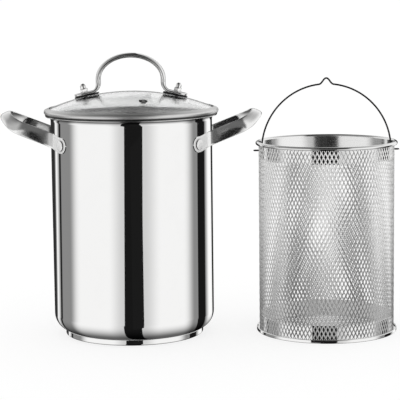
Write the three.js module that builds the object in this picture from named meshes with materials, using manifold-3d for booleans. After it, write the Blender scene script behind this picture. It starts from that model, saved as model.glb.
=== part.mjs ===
// Stockpot for deep frying: a tall steel pot with two strap handles, a glass lid with a
// steel arch handle, and the lift-out mesh basket, which stands beside the pot.
// Millimetres, +Z up. The origin is the centre of the pot's underside.
import * as THREE from 'three';
import { mergeVertices } from 'three/addons/utils/BufferGeometryUtils.js';
import Module from 'manifold-3d';

const wasm = await Module();
wasm.setup();

// Clearance between pieces that rest on, or pass through, each other.
const seatGap = 0.3;

// Facets round the large pieces, round small ones, round a bar and round a wire, and steps along bends.
const roundFacets = 36;
const smallFacets = 12;
const barFacets = 10;
const wireFacets = 6;
const cornerSteps = 4;
const bendSteps = 3;
const hemSteps = 2;
const curlSteps = 6;
const domeSteps = 7;
const elbowSteps = 4;
const archSteps = 18;
const bailSideSteps = 16;
const bailPeakSteps = 6;
const gripSteps = 12;
const armShare = 0.35;

// Pot body, drawn from sheet, with a flared rim.
const potRadius = 80;
const potHeight = 219.2;
const potWall = 0.8;
const potCorner = 17;
const rimFlare = 5;
const rimBend = 5;
const rimRadius = potRadius + rimFlare;

// Sandwich base under the pot.
const capInset = 11;
const capSheet = 0.5;
const capCorner = 1.5;
const coreThickness = 4.3;
const capRadius = potRadius - capInset;

// Strap handles on the pot's sides. Heights are from the middle of the tabs, and reaches from the wall.
const strapThickness = 1.6;
const strapHalfSpan = 31;
const strapBend = 3;
const tabHeight = 15.4;
const tabReach = 16.44;
const tabDrop = 26.2;
const rootTopRise = 11.6;
const rootBottomDrop = 3.1;
const topEdgeSlope = 0.39;
const topEdgeReach = 39.5;
const topEdgeDepth = 16.5;
const topEdgePeak = 30.6;
const bottomEdgeSlope = 0.405;
const bottomEdgeReach = 49.8;
const bottomEdgeDepth = 18.8;
const bottomEdgePeak = 26.2;
const strapCrown = 1.8;

// Rivets that hold the straps.
const rivetShank = 2.4;
const rivetHead = 5.2;
const rivetHeadHeight = 1.9;
const rivetHeadEdge = 0.6;
const rivetInnerHead = 4.6;
const rivetInnerFlat = 3.2;
const rivetInnerHeight = 1.3;

// Lid: rim ring, pressed glass and vent eyelet.
const ringOverhang = 1.5;
const ringSheet = 0.6;
const ringRounding = 1.2;
const ringLip = 3.3;
const skirtDepth = 7;
const skirtClearance = 1;
const glassInset = 1.7;
const glassThickness = 4;
const glassRise = 17.8;
const ventInset = 30.8;
const ventAngleDeg = -75.2;
const ventBore = 1.8;
const ventWall = 0.9;
const ventFlangeWidth = 1.6;
const ventFlangeBevel = 0.9;
const ventFlangeHeight = 0.8;
const ringRadius = rimRadius + ringOverhang;
const glassRadius = ringRadius - glassInset;
const ventDistance = glassRadius - ventInset;

// Lid handle, an arch of flattened bar that stands on two flat feet.
const archSetback = 13.1;
const archRise = 23.6;
const archStand = 38;
const archBend = 8;
const barTail = 1;
const barThickness = 4.8;
const barWidth = 12;
const footThickness = 2.8;
const footWidth = 16;
const footOuterReach = 10;
const footInnerReach = 13;
const footInset = 39.6;
const gasketThickness = 1;
const gasketMargin = 0.8;
const footBoltDistance = glassRadius - footInset;
const archHalfSpan = footBoltDistance - archSetback;

// Fasteners that clamp each foot to the glass.
const boltShank = 1.95;
const boltHead = 4;
const boltHeadFlat = 2.8;
const boltHeadHeight = 2.4;
const boltHeadEdge = 1.2;
const washerRadius = 6;
const washerThickness = 1.2;
const nutAcrossFlats = 7.6;
const nutHexHeight = 3.3;
const nutCapWall = 0.6;
const nutCapHeight = 5.2;
const nutThreadDepth = 5.5;
const nutCapRadius = boltShank + seatGap + nutCapWall;

// Frying basket: mesh wall and floor between a rolled rim band and a hemmed base band.
const meshRadius = 67.2;
const meshSheet = 0.4;
const meshColumns = 24;
const meshRows = 5;
const meshOpening = 0.8;
const bandSheet = 0.6;
const basketHeight = 191;
const rimBandHeight = 17;
const curlOverhang = 3.3;
const rimCurlHeight = 3.8;
const curlTurnDeg = 50;
const baseBandHeight = 17;
const hemOverhang = 2.9;
const hemHeight = 3.7;
const hemRounding = 1;
const floorLip = 2.5;
const rimCurlRadius = meshRadius + curlOverhang;
const hemRadius = meshRadius + hemOverhang;

// The basket stands beside the pot, with its rim a little way under the right handle's grip.
const basketTuck = 6.8;
const basketX = potRadius + bottomEdgeReach + rimCurlRadius - basketTuck;

// Bail, a wire arch whose ends turn out through the rim band.
const bailWire = 0.85;
const bailClearance = 0.75;
const bailPivotDrop = 9.2;
const bailElbow = 2;
const stubOverhang = 2.1;
const bailStretch = 1.2;
const bailPeakRise = 5.7;
const bailPeakHalfWidth = 8;
const bailPeakTip = 3.2;
const bailPivotZ = basketHeight - bailPivotDrop;

// Finishes.
const polished = { color: 0xc9cbcd, roughness: 0.12, metalness: 1 };
const satin = { color: 0xb4b6b8, roughness: 0.3, metalness: 1 };
const aluminium = { color: 0xb9babc, roughness: 0.45, metalness: 1 };
const clearGlass = { color: 0xdfe6e4, roughness: 0.03, transparent: true, opacity: 0.35 };
const rubber = { color: 0x2c2c2e, roughness: 0.7 };

// A closed geometry as a solid that can be cut and joined, with its faces pointing out.
function toSolid(geometry) {
  const bare = geometry.clone();
  bare.deleteAttribute('normal');
  bare.deleteAttribute('uv');
  const merged = mergeVertices(bare, 1e-4);
  const position = merged.attributes.position;
  const index = merged.index.array;
  const corners = [new THREE.Vector3(), new THREE.Vector3(), new THREE.Vector3()];
  const kept = [];
  let volume = 0;
  for (let i = 0; i < index.length; i += 3) {
    const [a, b, c] = index.slice(i, i + 3);
    if (a === b || b === c || c === a) continue;
    kept.push(a, b, c);
    corners.forEach((corner, k) => corner.fromBufferAttribute(position, index[i + k]));
    volume += corners[0].dot(corners[1].cross(corners[2]));
  }
  if (volume < 0) kept.reverse();
  const mesh = new wasm.Mesh({
    numProp: 3,
    vertProperties: Float32Array.from(position.array),
    triVerts: Uint32Array.from(kept),
  });
  return new wasm.Manifold(mesh);
}

function toGeometry(solid) {
  const mesh = solid.getMesh();
  const geometry = new THREE.BufferGeometry();
  geometry.setAttribute('position', new THREE.BufferAttribute(mesh.vertProperties, 3));
  geometry.setIndex(new THREE.BufferAttribute(mesh.triVerts, 1));
  geometry.computeVertexNormals();
  return geometry;
}

function cut(geometry, tools) {
  const solid = toSolid(geometry);
  return toGeometry(tools.reduce((left, tool) => left.subtract(toSolid(tool)), solid));
}

function join(...geometries) {
  const [first, ...others] = geometries.map(toSolid);
  return toGeometry(others.reduce((whole, solid) => whole.add(solid), first));
}

function part(name, geometry, finish) {
  const mesh = new THREE.Mesh(geometry, new THREE.MeshStandardMaterial(finish));
  mesh.name = name;
  return mesh;
}

// Group of children, moved as a whole by a matrix.
function placed(matrix, ...children) {
  const group = new THREE.Group();
  group.applyMatrix4(matrix);
  group.add(...children);
  return group;
}

// Body of revolution about +Z, from a profile of [radius, height] points.
function revolve(profile, facets = roundFacets) {
  const points = profile.map(([radius, height]) => new THREE.Vector2(radius, height));
  return toGeometry(toSolid(new THREE.LatheGeometry(points, facets).rotateX(Math.PI / 2)));
}

// Ring of revolution, whose profile closes on itself.
function revolveRing(profile, facets = roundFacets) {
  return revolve([...profile, profile[0]], facets);
}

// Points along an arc in a profile, with angles in degrees.
function arc([x, y], radiusX, radiusY, from, to, steps) {
  return Array.from({ length: steps + 1 }, (_, i) => {
    const angle = THREE.MathUtils.degToRad(from + ((to - from) * i) / steps);
    return [x + radiusX * Math.cos(angle), y + radiusY * Math.sin(angle)];
  });
}

// Round bar along +Z between two heights.
function rod(radius, from, to, facets = smallFacets) {
  const bar = new THREE.CylinderGeometry(radius, radius, to - from, facets);
  return bar.rotateX(Math.PI / 2).translate(0, 0, (from + to) / 2);
}

// A curve in the XZ plane, made of flat pieces that are each divided into their own number of steps.
class UprightCurve extends THREE.Curve {
  constructor(pieces) {
    super();
    this.pieces = pieces;
    this.steps = pieces.reduce((sum, [, steps]) => sum + steps, 0);
  }

  getPoint(t, target = new THREE.Vector3()) {
    let station = t * this.steps;
    let index = 0;
    while (index < this.pieces.length - 1 && station > this.pieces[index][1]) {
      station -= this.pieces[index][1];
      index += 1;
    }
    const [curve, steps] = this.pieces[index];
    const point = curve.getPoint(station / steps);
    return target.set(point.x, 0, point.y);
  }

  getUtoTmapping(u) {
    return u;
  }
}

function straight(from, to) {
  return new THREE.LineCurve(new THREE.Vector2(...from), new THREE.Vector2(...to));
}

function bend([x, y], radiusX, radiusY, from, to) {
  return new THREE.EllipseCurve(x, y, radiusX, radiusY, from, to, to < from);
}

// Bar of oval section along an upright curve. The first half size lies across the curve's plane.
function sweep(halfWidth, halfHeight, pieces, facets) {
  const section = new THREE.Shape();
  section.absellipse(0, 0, halfWidth, halfHeight, 0, 2 * Math.PI);
  const extrudePath = new UprightCurve(pieces);
  const { steps } = extrudePath;
  const curveSegments = facets / 2;
  return new THREE.ExtrudeGeometry(section, { steps, curveSegments, bevelEnabled: false, extrudePath });
}

// Closed skin through rings of points, with flat ends.
function loft(rings) {
  const count = rings[0].length;
  const last = (rings.length - 1) * count;
  const index = [];
  for (let start = 0; start < last; start += count) {
    for (let j = 0; j < count; j += 1) {
      const a = start + j;
      const b = start + ((j + 1) % count);
      index.push(a, b, a + count, b, b + count, a + count);
    }
  }
  for (let j = 1; j < count - 1; j += 1) {
    index.push(0, j + 1, j, last, last + j, last + j + 1);
  }
  const positions = rings.flat().flatMap((point) => point.toArray());
  const geometry = new THREE.BufferGeometry();
  geometry.setAttribute('position', new THREE.Float32BufferAttribute(positions, 3));
  geometry.setIndex(index);
  return geometry;
}

// Pot shell: flat bottom, round corner, straight wall and a rim bent outward.
const shellBottomZ = capSheet + coreThickness;
const shellInnerRadius = potRadius - potWall;
const cornerCentre = [potRadius - potCorner, shellBottomZ + potCorner];

function potShellProfile() {
  const rimCentre = [shellInnerRadius + rimBend, potHeight - rimBend];
  const underBend = rimBend - potWall;
  const innerCorner = potCorner - potWall;
  return [
    [0, shellBottomZ],
    ...arc(cornerCentre, potCorner, potCorner, -90, 0, cornerSteps),
    ...arc(rimCentre, underBend, underBend, 180, 90, bendSteps),
    [rimRadius, potHeight - potWall],
    [rimRadius, potHeight],
    ...arc(rimCentre, rimBend, rimBend, 90, 180, bendSteps),
    ...arc(cornerCentre, innerCorner, innerCorner, 0, -90, cornerSteps),
    [0, shellBottomZ + potWall],
  ];
}

// The base cap is a shallow pan that holds the core disc against the pot's bottom.
function baseCapProfile() {
  const inner = capRadius - capSheet;
  const pastFlat = Math.max(inner - cornerCentre[0], 0);
  const shellAtCap = cornerCentre[1] - Math.sqrt(potCorner ** 2 - pastFlat ** 2);
  const capTopZ = shellAtCap - seatGap;
  const centre = [capRadius - capCorner, capCorner];
  const innerCorner = capCorner - capSheet;
  return [
    [0, 0],
    ...arc(centre, capCorner, capCorner, -90, 0, bendSteps),
    [capRadius, capTopZ],
    [inner, capTopZ],
    ...arc(centre, innerCorner, innerCorner, 0, -90, bendSteps),
    [0, capSheet],
  ];
}

function coreProfile() {
  const radius = capRadius - capSheet - seatGap;
  const chamfer = capCorner - capSheet;
  const chamferTopZ = capSheet + chamfer;
  return [
    [0, capSheet],
    [radius - chamfer, capSheet],
    [radius, chamferTopZ],
    [radius, shellBottomZ],
    [0, shellBottomZ],
  ];
}

// Each rivet lies along a radius of the pot: local +Z is outward from the pot's axis.
const strapOuterRadius = potRadius + seatGap + strapThickness;
const tabCentreZ = potHeight - tabDrop;
const tabAngle = Math.asin((strapHalfSpan + tabReach) / strapOuterRadius);
const wallFlatRadius = shellInnerRadius * Math.cos(Math.PI / roundFacets);
const innerHeadSeat = Math.sqrt(wallFlatRadius ** 2 - rivetInnerHead ** 2) - seatGap;
const outerHeadSeat = strapOuterRadius + seatGap;

function radialFrame(angle) {
  const radial = new THREE.Vector3(Math.cos(angle), Math.sin(angle), 0);
  const up = new THREE.Vector3(0, 0, 1);
  const frame = new THREE.Matrix4().makeBasis(up.clone().cross(radial), up, radial);
  return frame.setPosition(0, 0, tabCentreZ);
}

function rivetGeometry() {
  const domeCentre = [0, outerHeadSeat + rivetHeadEdge];
  return revolve(
    [
      [0, innerHeadSeat - rivetInnerHeight],
      [rivetInnerFlat, innerHeadSeat - rivetInnerHeight],
      [rivetInnerHead, innerHeadSeat],
      [rivetShank, innerHeadSeat],
      [rivetShank, outerHeadSeat],
      [rivetHead, outerHeadSeat],
      ...arc(domeCentre, rivetHead, rivetHeadHeight - rivetHeadEdge, 0, 90, bendSteps),
    ],
    smallFacets,
  );
}

function rivetHole(angle) {
  const hole = rod(rivetShank + seatGap, innerHeadSeat, outerHeadSeat + rivetHeadHeight);
  return hole.applyMatrix4(radialFrame(angle));
}

// Strap handle on the +X side, as stations from the front tab's round end to the middle of the grip.
// A station holds the strap's top and bottom edge on its outer face, in the front half.
function strapStations() {
  const halfTab = tabHeight / 2;
  const rootTopZ = tabCentreZ + rootTopRise;
  const rootBottomZ = tabCentreZ - rootBottomDrop;
  const bendRadius = strapOuterRadius + strapBend;
  const bendAngle = Math.asin((strapHalfSpan + strapBend) / bendRadius);
  const onWall = (angle) => [strapOuterRadius * Math.cos(angle), -strapOuterRadius * Math.sin(angle)];
  const stations = [];
  const add = (top, bottom) => stations.push([new THREE.Vector3(...top), new THREE.Vector3(...bottom)]);

  // Round end of the tab, centred on the rivet.
  for (const turnDeg of [12, 30, 50, 70]) {
    const turn = THREE.MathUtils.degToRad(turnDeg);
    const half = halfTab * Math.sin(turn);
    const plan = onWall(tabAngle + (halfTab * Math.cos(turn)) / strapOuterRadius);
    add([...plan, tabCentreZ + half], [...plan, tabCentreZ - half]);
  }

  // Straight part of the tab, then the bend away from the wall, rising as it goes.
  const root = [bendRadius * Math.cos(bendAngle), -strapHalfSpan];
  const wallLength = (tabAngle - bendAngle) * strapOuterRadius;
  const bendTurn = Math.PI / 2 - bendAngle;
  const bendLength = bendTurn * strapBend;
  const addRising = (plan, length) => {
    const share = (length / (wallLength + bendLength)) ** 2;
    const topZ = THREE.MathUtils.lerp(tabCentreZ + halfTab, rootTopZ, share);
    const bottomZ = THREE.MathUtils.lerp(tabCentreZ - halfTab, rootBottomZ, share);
    add([...plan, topZ], [...plan, bottomZ]);
  };
  for (let i = 0; i <= cornerSteps; i += 1) {
    const share = i / cornerSteps;
    addRising(onWall(THREE.MathUtils.lerp(tabAngle, bendAngle, share)), wallLength * share);
  }
  for (let i = 1; i <= cornerSteps; i += 1) {
    const turn = (bendTurn * i) / cornerSteps;
    const heading = Math.PI - bendAngle - turn;
    const centreY = -strapHalfSpan - strapBend;
    const plan = [root[0] + strapBend * Math.cos(heading), centreY + strapBend * Math.sin(heading)];
    addRising(plan, wallLength + (bendLength * i) / cornerSteps);
  }

  // Arm and outer bend: each edge runs straight out, then rounds the end of the grip.
  const edge = (reach, depth, rootZ, slope, peak) => (share) => {
    const peakX = potRadius + reach;
    const straightX = peakX - depth;
    const x = THREE.MathUtils.lerp(root[0], straightX, Math.min(share / armShare, 1));
    if (share <= armShare) return [x, -strapHalfSpan, rootZ + slope * (x - root[0])];
    const turn = ((share - armShare) / (1 - armShare)) * (Math.PI / 2);
    const outX = straightX + depth * Math.sin(turn);
    const curl = tabCentreZ + peak - rootZ - slope * (peakX - root[0]);
    const z = rootZ + slope * (outX - root[0]) + curl * Math.sin(turn) ** 2;
    return [outX, -strapHalfSpan * Math.cos(turn), z];
  };
  const top = edge(topEdgeReach, topEdgeDepth, rootTopZ, topEdgeSlope, topEdgePeak);
  const bottom = edge(bottomEdgeReach, bottomEdgeDepth, rootBottomZ, bottomEdgeSlope, bottomEdgePeak);
  for (let i = 1; i <= gripSteps; i += 1) add(top(i / gripSteps), bottom(i / gripSteps));
  return stations;
}

// The strap's section is crowned where the grip turns up, and has its thickness toward the inside.
function strapRings() {
  const front = strapStations();
  const mirror = (point) => new THREE.Vector3(point.x, -point.y, point.z);
  const back = front.slice(0, -1).reverse().map((edges) => edges.map(mirror));
  const stations = [...front, ...back];
  return stations.map(([top, bottom], i) => {
    const before = stations[Math.max(i - 1, 0)];
    const after = stations[Math.min(i + 1, stations.length - 1)];
    const along = after[0].clone().add(after[1]).sub(before[0]).sub(before[1]).normalize();
    const inward = top.clone().sub(bottom).cross(along).normalize();
    const crown = strapCrown * Math.max(0, inward.z * -1);
    const middle = top.clone().lerp(bottom, 0.5).addScaledVector(inward, -crown);
    const inside = (point) => point.clone().addScaledVector(inward, strapThickness);
    return [top, middle, bottom, inside(bottom), inside(middle), inside(top)];
  });
}

function strapGeometry() {
  return cut(loft(strapRings()), [rivetHole(-tabAngle), rivetHole(tabAngle)]);
}

function buildPot() {
  const sides = [
    ['right', 0],
    ['left', Math.PI],
  ];
  const rivets = [
    ['right_front_rivet', -tabAngle],
    ['right_back_rivet', tabAngle],
    ['left_front_rivet', Math.PI + tabAngle],
    ['left_back_rivet', Math.PI - tabAngle],
  ];
  const pot = new THREE.Group();
  const holes = rivets.map(([, angle]) => rivetHole(angle));
  pot.add(part('pot_shell', cut(revolve(potShellProfile()), holes), polished));
  pot.add(part('base_core_disc', revolve(coreProfile()), aluminium));
  pot.add(part('base_cap', revolve(baseCapProfile()), polished));
  for (const [side, turn] of sides) {
    const handle = part(`${side}_handle`, strapGeometry(), satin);
    handle.rotation.z = turn;
    pot.add(handle);
  }
  for (const [name, angle] of rivets) {
    pot.add(placed(radialFrame(angle), part(name, rivetGeometry(), polished)));
  }
  return pot;
}

// Lid. Its ring rests on the pot's rim, and its skirt locates it inside the pot.
const ringBottomZ = potHeight + seatGap;
const glassEdgeZ = ringBottomZ + ringSheet + seatGap + glassThickness;
const domeRadius = (glassRadius ** 2 + glassRise ** 2) / (2 * glassRise);
const domeTopZ = glassEdgeZ + glassRise;
const domeCentreZ = domeTopZ - domeRadius;
const domeEdgeDeg = THREE.MathUtils.radToDeg(Math.acos(glassRadius / domeRadius));

function domeZ(distance) {
  return domeCentreZ + Math.sqrt(domeRadius ** 2 - distance ** 2);
}

// Frame on the outer face of the glass: local +Z is the dome's normal, local +X runs outward and down.
function domeFrame(distance, angleDeg) {
  const tilt = Math.asin(distance / domeRadius);
  const turn = new THREE.Matrix4().makeRotationZ(THREE.MathUtils.degToRad(angleDeg));
  const lean = new THREE.Matrix4().makeRotationY(tilt);
  const place = new THREE.Matrix4().makeTranslation(distance, 0, domeZ(distance));
  return turn.multiply(place).multiply(lean);
}

function glassHole(radius, distance, angleDeg) {
  const hole = rod(radius, -2 * glassThickness, glassThickness);
  return hole.applyMatrix4(domeFrame(distance, angleDeg));
}

function lidGlassGeometry() {
  const top = arc([0, domeCentreZ], domeRadius, domeRadius, 90, domeEdgeDeg, domeSteps);
  const bottom = top.map(([radius, height]) => [radius, height - glassThickness]).reverse();
  return cut(revolve([...top, ...bottom]), [
    glassHole(boltShank + seatGap, footBoltDistance, 0),
    glassHole(boltShank + seatGap, footBoltDistance, 180),
    glassHole(ventBore + ventWall + seatGap, ventDistance, ventAngleDeg),
  ]);
}

function ringProfile() {
  const skirt = shellInnerRadius - skirtClearance;
  const skirtBottomZ = ringBottomZ - skirtDepth;
  const lipEnd = glassRadius - ringLip;
  const lipRise = seatGap + ringSheet;
  const ringTopZ = domeZ(glassRadius) + lipRise;
  const cornerX = ringRadius - ringRounding;
  return [
    [skirt, skirtBottomZ],
    [skirt, ringBottomZ],
    ...arc([cornerX, ringBottomZ + ringRounding], ringRounding, ringRounding, -90, 0, hemSteps),
    ...arc([cornerX, ringTopZ - ringRounding], ringRounding, ringRounding, 0, 90, hemSteps),
    [lipEnd, domeZ(lipEnd) + lipRise],
    [lipEnd, domeZ(lipEnd) + seatGap],
    [glassRadius + seatGap, domeZ(glassRadius) + seatGap],
    [glassRadius + seatGap, ringBottomZ + ringSheet],
    [skirt - ringSheet, ringBottomZ + ringSheet],
    [skirt - ringSheet, skirtBottomZ],
  ];
}

// Vent eyelet: a barrel through the glass with a flange on each side.
function ventProfile() {
  const upper = seatGap;
  const lower = -glassThickness - seatGap;
  const barrel = ventBore + ventWall;
  const flange = barrel + ventFlangeWidth;
  return [
    [ventBore, lower - ventFlangeHeight],
    [flange, lower - ventFlangeHeight],
    [flange, lower],
    [barrel, lower],
    [barrel, upper],
    [flange, upper],
    [flange - ventFlangeBevel, upper + ventFlangeHeight],
    [ventBore, upper + ventFlangeHeight],
  ];
}

// Heights of the clamped stack at a foot, along the dome's normal.
const gasketBottom = seatGap;
const footBottom = gasketBottom + gasketThickness + seatGap;
const footTop = footBottom + footThickness;
const nutBottom = footTop + seatGap;
const washerTop = -glassThickness - seatGap;
const boltHeadTop = washerTop - washerThickness - seatGap;

// Plate with one half-round end, flat underneath, with a hole for the bolt.
function footPlate(halfWidth, innerReach, outerReach, bottom, thickness) {
  const shape = new THREE.Shape();
  shape.moveTo(-innerReach, -halfWidth);
  shape.lineTo(outerReach - halfWidth, -halfWidth);
  shape.absarc(outerReach - halfWidth, 0, halfWidth, -Math.PI / 2, Math.PI / 2, false);
  shape.lineTo(-innerReach, halfWidth);
  const hole = new THREE.Path();
  hole.absarc(0, 0, boltShank + seatGap, 0, 2 * Math.PI, true);
  shape.holes.push(hole);
  const options = { depth: thickness, bevelEnabled: false, curveSegments: 8 };
  return new THREE.ExtrudeGeometry(shape, options).translate(0, 0, bottom);
}

// Centre line of the bar: up from one foot, over the arch and down to the other.
function archPath() {
  const tilt = Math.asin(footBoltDistance / domeRadius);
  const shoulderZ = domeTopZ + archStand - barThickness / 2 - archRise;
  const barAboveGlass = footBottom + barThickness / 2;
  const footX = footBoltDistance + barAboveGlass * Math.sin(tilt);
  const footZ = domeZ(footBoltDistance) + barAboveGlass * Math.cos(tilt);
  const cornerZ = footZ + (footX - archHalfSpan) * Math.tan(tilt);
  const bendTurn = Math.PI / 2 - tilt;
  const tangent = archBend * Math.tan(bendTurn / 2);
  const centre = [archHalfSpan + archBend, cornerZ + tangent];
  const endX = archHalfSpan + tangent * Math.cos(tilt) + barTail;
  const endZ = cornerZ - (endX - archHalfSpan) * Math.tan(tilt);
  const bendFoot = [centre[0] - archBend * Math.sin(tilt), centre[1] - archBend * Math.cos(tilt)];
  const flip = ([x, y]) => [-x, y];
  const down = -Math.PI / 2;
  return [
    [straight([endX, endZ], bendFoot), 1],
    [bend(centre, archBend, archBend, down - tilt, -Math.PI), elbowSteps],
    [straight([archHalfSpan, centre[1]], [archHalfSpan, shoulderZ]), 1],
    [bend([0, shoulderZ], archHalfSpan, archRise, 0, Math.PI), archSteps],
    [straight([-archHalfSpan, shoulderZ], [-archHalfSpan, centre[1]]), 1],
    [bend(flip(centre), archBend, archBend, 0, down + tilt), elbowSteps],
    [straight(flip(bendFoot), [-endX, endZ]), 1],
  ];
}

function lidHandleGeometry() {
  const bar = sweep(barWidth / 2, barThickness / 2, archPath(), barFacets);
  const feet = [0, 180].map((angleDeg) => {
    const foot = footPlate(footWidth / 2, footInnerReach, footOuterReach, footBottom, footThickness);
    return foot.applyMatrix4(domeFrame(footBoltDistance, angleDeg));
  });
  return join(bar, ...feet);
}

// Domed nut: a hexagon with a round cap, bored from below.
function nutGeometry() {
  const hexRadius = nutAcrossFlats / Math.sqrt(3);
  const hex = rod(hexRadius, nutBottom, nutBottom + nutHexHeight, 6);
  const capTop = nutBottom + nutHexHeight + nutCapHeight;
  const capCentre = [0, capTop - nutCapRadius];
  const capBottom = nutBottom + nutHexHeight / 2;
  const capDome = arc(capCentre, nutCapRadius, nutCapRadius, 0, 90, bendSteps);
  const cap = revolve([[0, capBottom], [nutCapRadius, capBottom], ...capDome], smallFacets);
  const boreTop = nutBottom + nutThreadDepth + seatGap;
  return cut(join(hex, cap), [rod(boltShank + seatGap, footBottom, boreTop)]);
}

function boltProfile() {
  const top = nutBottom + nutThreadDepth;
  const headBottom = boltHeadTop - boltHeadHeight;
  return [
    [0, headBottom],
    [boltHeadFlat, headBottom],
    [boltHead, boltHeadTop - boltHeadEdge],
    [boltHead, boltHeadTop],
    [boltShank, boltHeadTop],
    [boltShank, top],
    [0, top],
  ];
}

function washerProfile() {
  const bore = boltShank + seatGap;
  const bottom = washerTop - washerThickness;
  return [[bore, bottom], [washerRadius, bottom], [washerRadius, washerTop], [bore, washerTop]];
}

function buildLid() {
  const lid = new THREE.Group();
  lid.add(part('lid_glass', lidGlassGeometry(), clearGlass));
  lid.add(part('lid_rim_ring', revolveRing(ringProfile()), satin));
  const eyelet = part('vent_eyelet', revolveRing(ventProfile(), smallFacets), polished);
  lid.add(placed(domeFrame(ventDistance, ventAngleDeg), eyelet));
  lid.add(part('lid_handle', lidHandleGeometry(), satin));
  const gasketShape = [
    footWidth / 2 + gasketMargin,
    footInnerReach + gasketMargin,
    footOuterReach + gasketMargin,
  ];
  for (const [side, angleDeg] of [['right', 0], ['left', 180]]) {
    const gasket = footPlate(...gasketShape, gasketBottom, gasketThickness);
    lid.add(
      placed(
        domeFrame(footBoltDistance, angleDeg),
        part(`${side}_foot_gasket`, toGeometry(toSolid(gasket)), rubber),
        part(`${side}_lid_bolt`, revolve(boltProfile(), smallFacets), satin),
        part(`${side}_lid_washer`, revolveRing(washerProfile(), smallFacets), satin),
        part(`${side}_domed_nut`, nutGeometry(), polished),
      ),
    );
  }
  return lid;
}

// Basket, built about its own axis. The mesh runs between the bands' outer faces and their curls.
const bandOuter = meshRadius - meshSheet - seatGap;
const bandInner = bandOuter - bandSheet;
const curlCentre = [(bandInner + rimCurlRadius) / 2, basketHeight - rimCurlHeight / 2];
const curlHalfWidth = (rimCurlRadius - bandInner) / 2;
const hemChannelZ = bandSheet + hemRounding;

function rimBandProfile() {
  const bandBottomZ = basketHeight - rimBandHeight;
  const half = rimCurlHeight / 2;
  return [
    [bandOuter, bandBottomZ],
    [bandInner, bandBottomZ],
    ...arc(curlCentre, curlHalfWidth, half, 180, -curlTurnDeg, curlSteps),
    ...arc(curlCentre, curlHalfWidth - bandSheet, half - bandSheet, -curlTurnDeg, 180, curlSteps),
  ];
}

function baseBandProfile() {
  const centreX = hemRadius - hemRounding;
  const hemInner = hemRadius - bandSheet;
  return [
    [bandInner - floorLip, 0],
    ...arc([centreX, hemRounding], hemRounding, hemRounding, -90, 0, hemSteps),
    [hemRadius, hemHeight - hemRounding],
    [hemInner, hemHeight],
    [hemInner - bandSheet, hemHeight],
    [hemInner, hemHeight - hemRounding],
    [hemInner, hemRounding],
    [centreX, bandSheet],
    [bandOuter, bandSheet],
    [bandOuter, baseBandHeight],
    [bandInner, baseBandHeight],
    [bandInner, bandSheet],
    [bandInner - floorLip, bandSheet],
  ];
}

// Mesh wall: a tube of staggered diamonds, whose corners lie half a column and half a row apart. Each
// diamond's opening is a share of its size. The top and bottom rows end in whole triangles, in the curl and hem.
function meshWallGeometry() {
  const inner = meshRadius - meshSheet;
  const bottom = bandSheet + seatGap;
  const lastRow = 2 * meshRows;
  const rise = (curlCentre[1] - bottom) / lastRow;
  const positions = [];
  const index = [];
  const corner = ([column, row], radius) => {
    const angle = (column * Math.PI) / meshColumns;
    return [radius * Math.cos(angle), radius * Math.sin(angle), bottom + row * rise];
  };
  const face = (corners) => {
    const first = positions.length / 3;
    positions.push(...corners.flat());
    for (let k = 2; k < corners.length; k += 1) index.push(first, first + k - 1, first + k);
  };
  const sheet = (...spots) => {
    face(spots.map((spot) => corner(spot, meshRadius)));
    face(spots.map((spot) => corner(spot, inner)).reverse());
  };
  const side = (from, to) => {
    face([corner(from, meshRadius), corner(to, meshRadius), corner(to, inner), corner(from, inner)]);
  };
  for (let row = 0; row <= lastRow; row += 1) {
    for (let column = 1 - (row % 2); column < 2 * meshColumns; column += 2) {
      const middle = [column, row];
      const corners = (reach) => [
        [column + reach, row],
        [column, row + reach],
        [column - reach, row],
        [column, row - reach],
      ];
      const [east, north, west, south] = corners(1);
      if (row === 0) {
        sheet(middle, east, north);
        sheet(west, middle, north);
        side(east, middle);
        side(middle, west);
      } else if (row === lastRow) {
        sheet(south, east, middle);
        sheet(west, south, middle);
        side(middle, east);
        side(west, middle);
      } else {
        const whole = corners(1);
        const opening = corners(meshOpening);
        for (let k = 0; k < 4; k += 1) {
          const next = (k + 1) % 4;
          sheet(whole[k], whole[next], opening[next], opening[k]);
          side(opening[k], opening[next]);
        }
      }
    }
  }
  const geometry = new THREE.BufferGeometry();
  geometry.setAttribute('position', new THREE.Float32BufferAttribute(positions, 3));
  geometry.setIndex(index);
  return geometry;
}

function floorProfile() {
  const radius = bandInner - seatGap;
  const bottom = bandSheet + seatGap;
  return [[0, bottom], [radius, bottom], [radius, bottom + meshSheet], [0, bottom + meshSheet]];
}

// Hole right across the basket for both ends of the bail.
function bailHole() {
  const reach = rimCurlRadius + bailWire;
  const hole = rod(bailWire + seatGap, -reach, reach);
  return hole.rotateY(Math.PI / 2).translate(0, 0, bailPivotZ);
}

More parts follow.
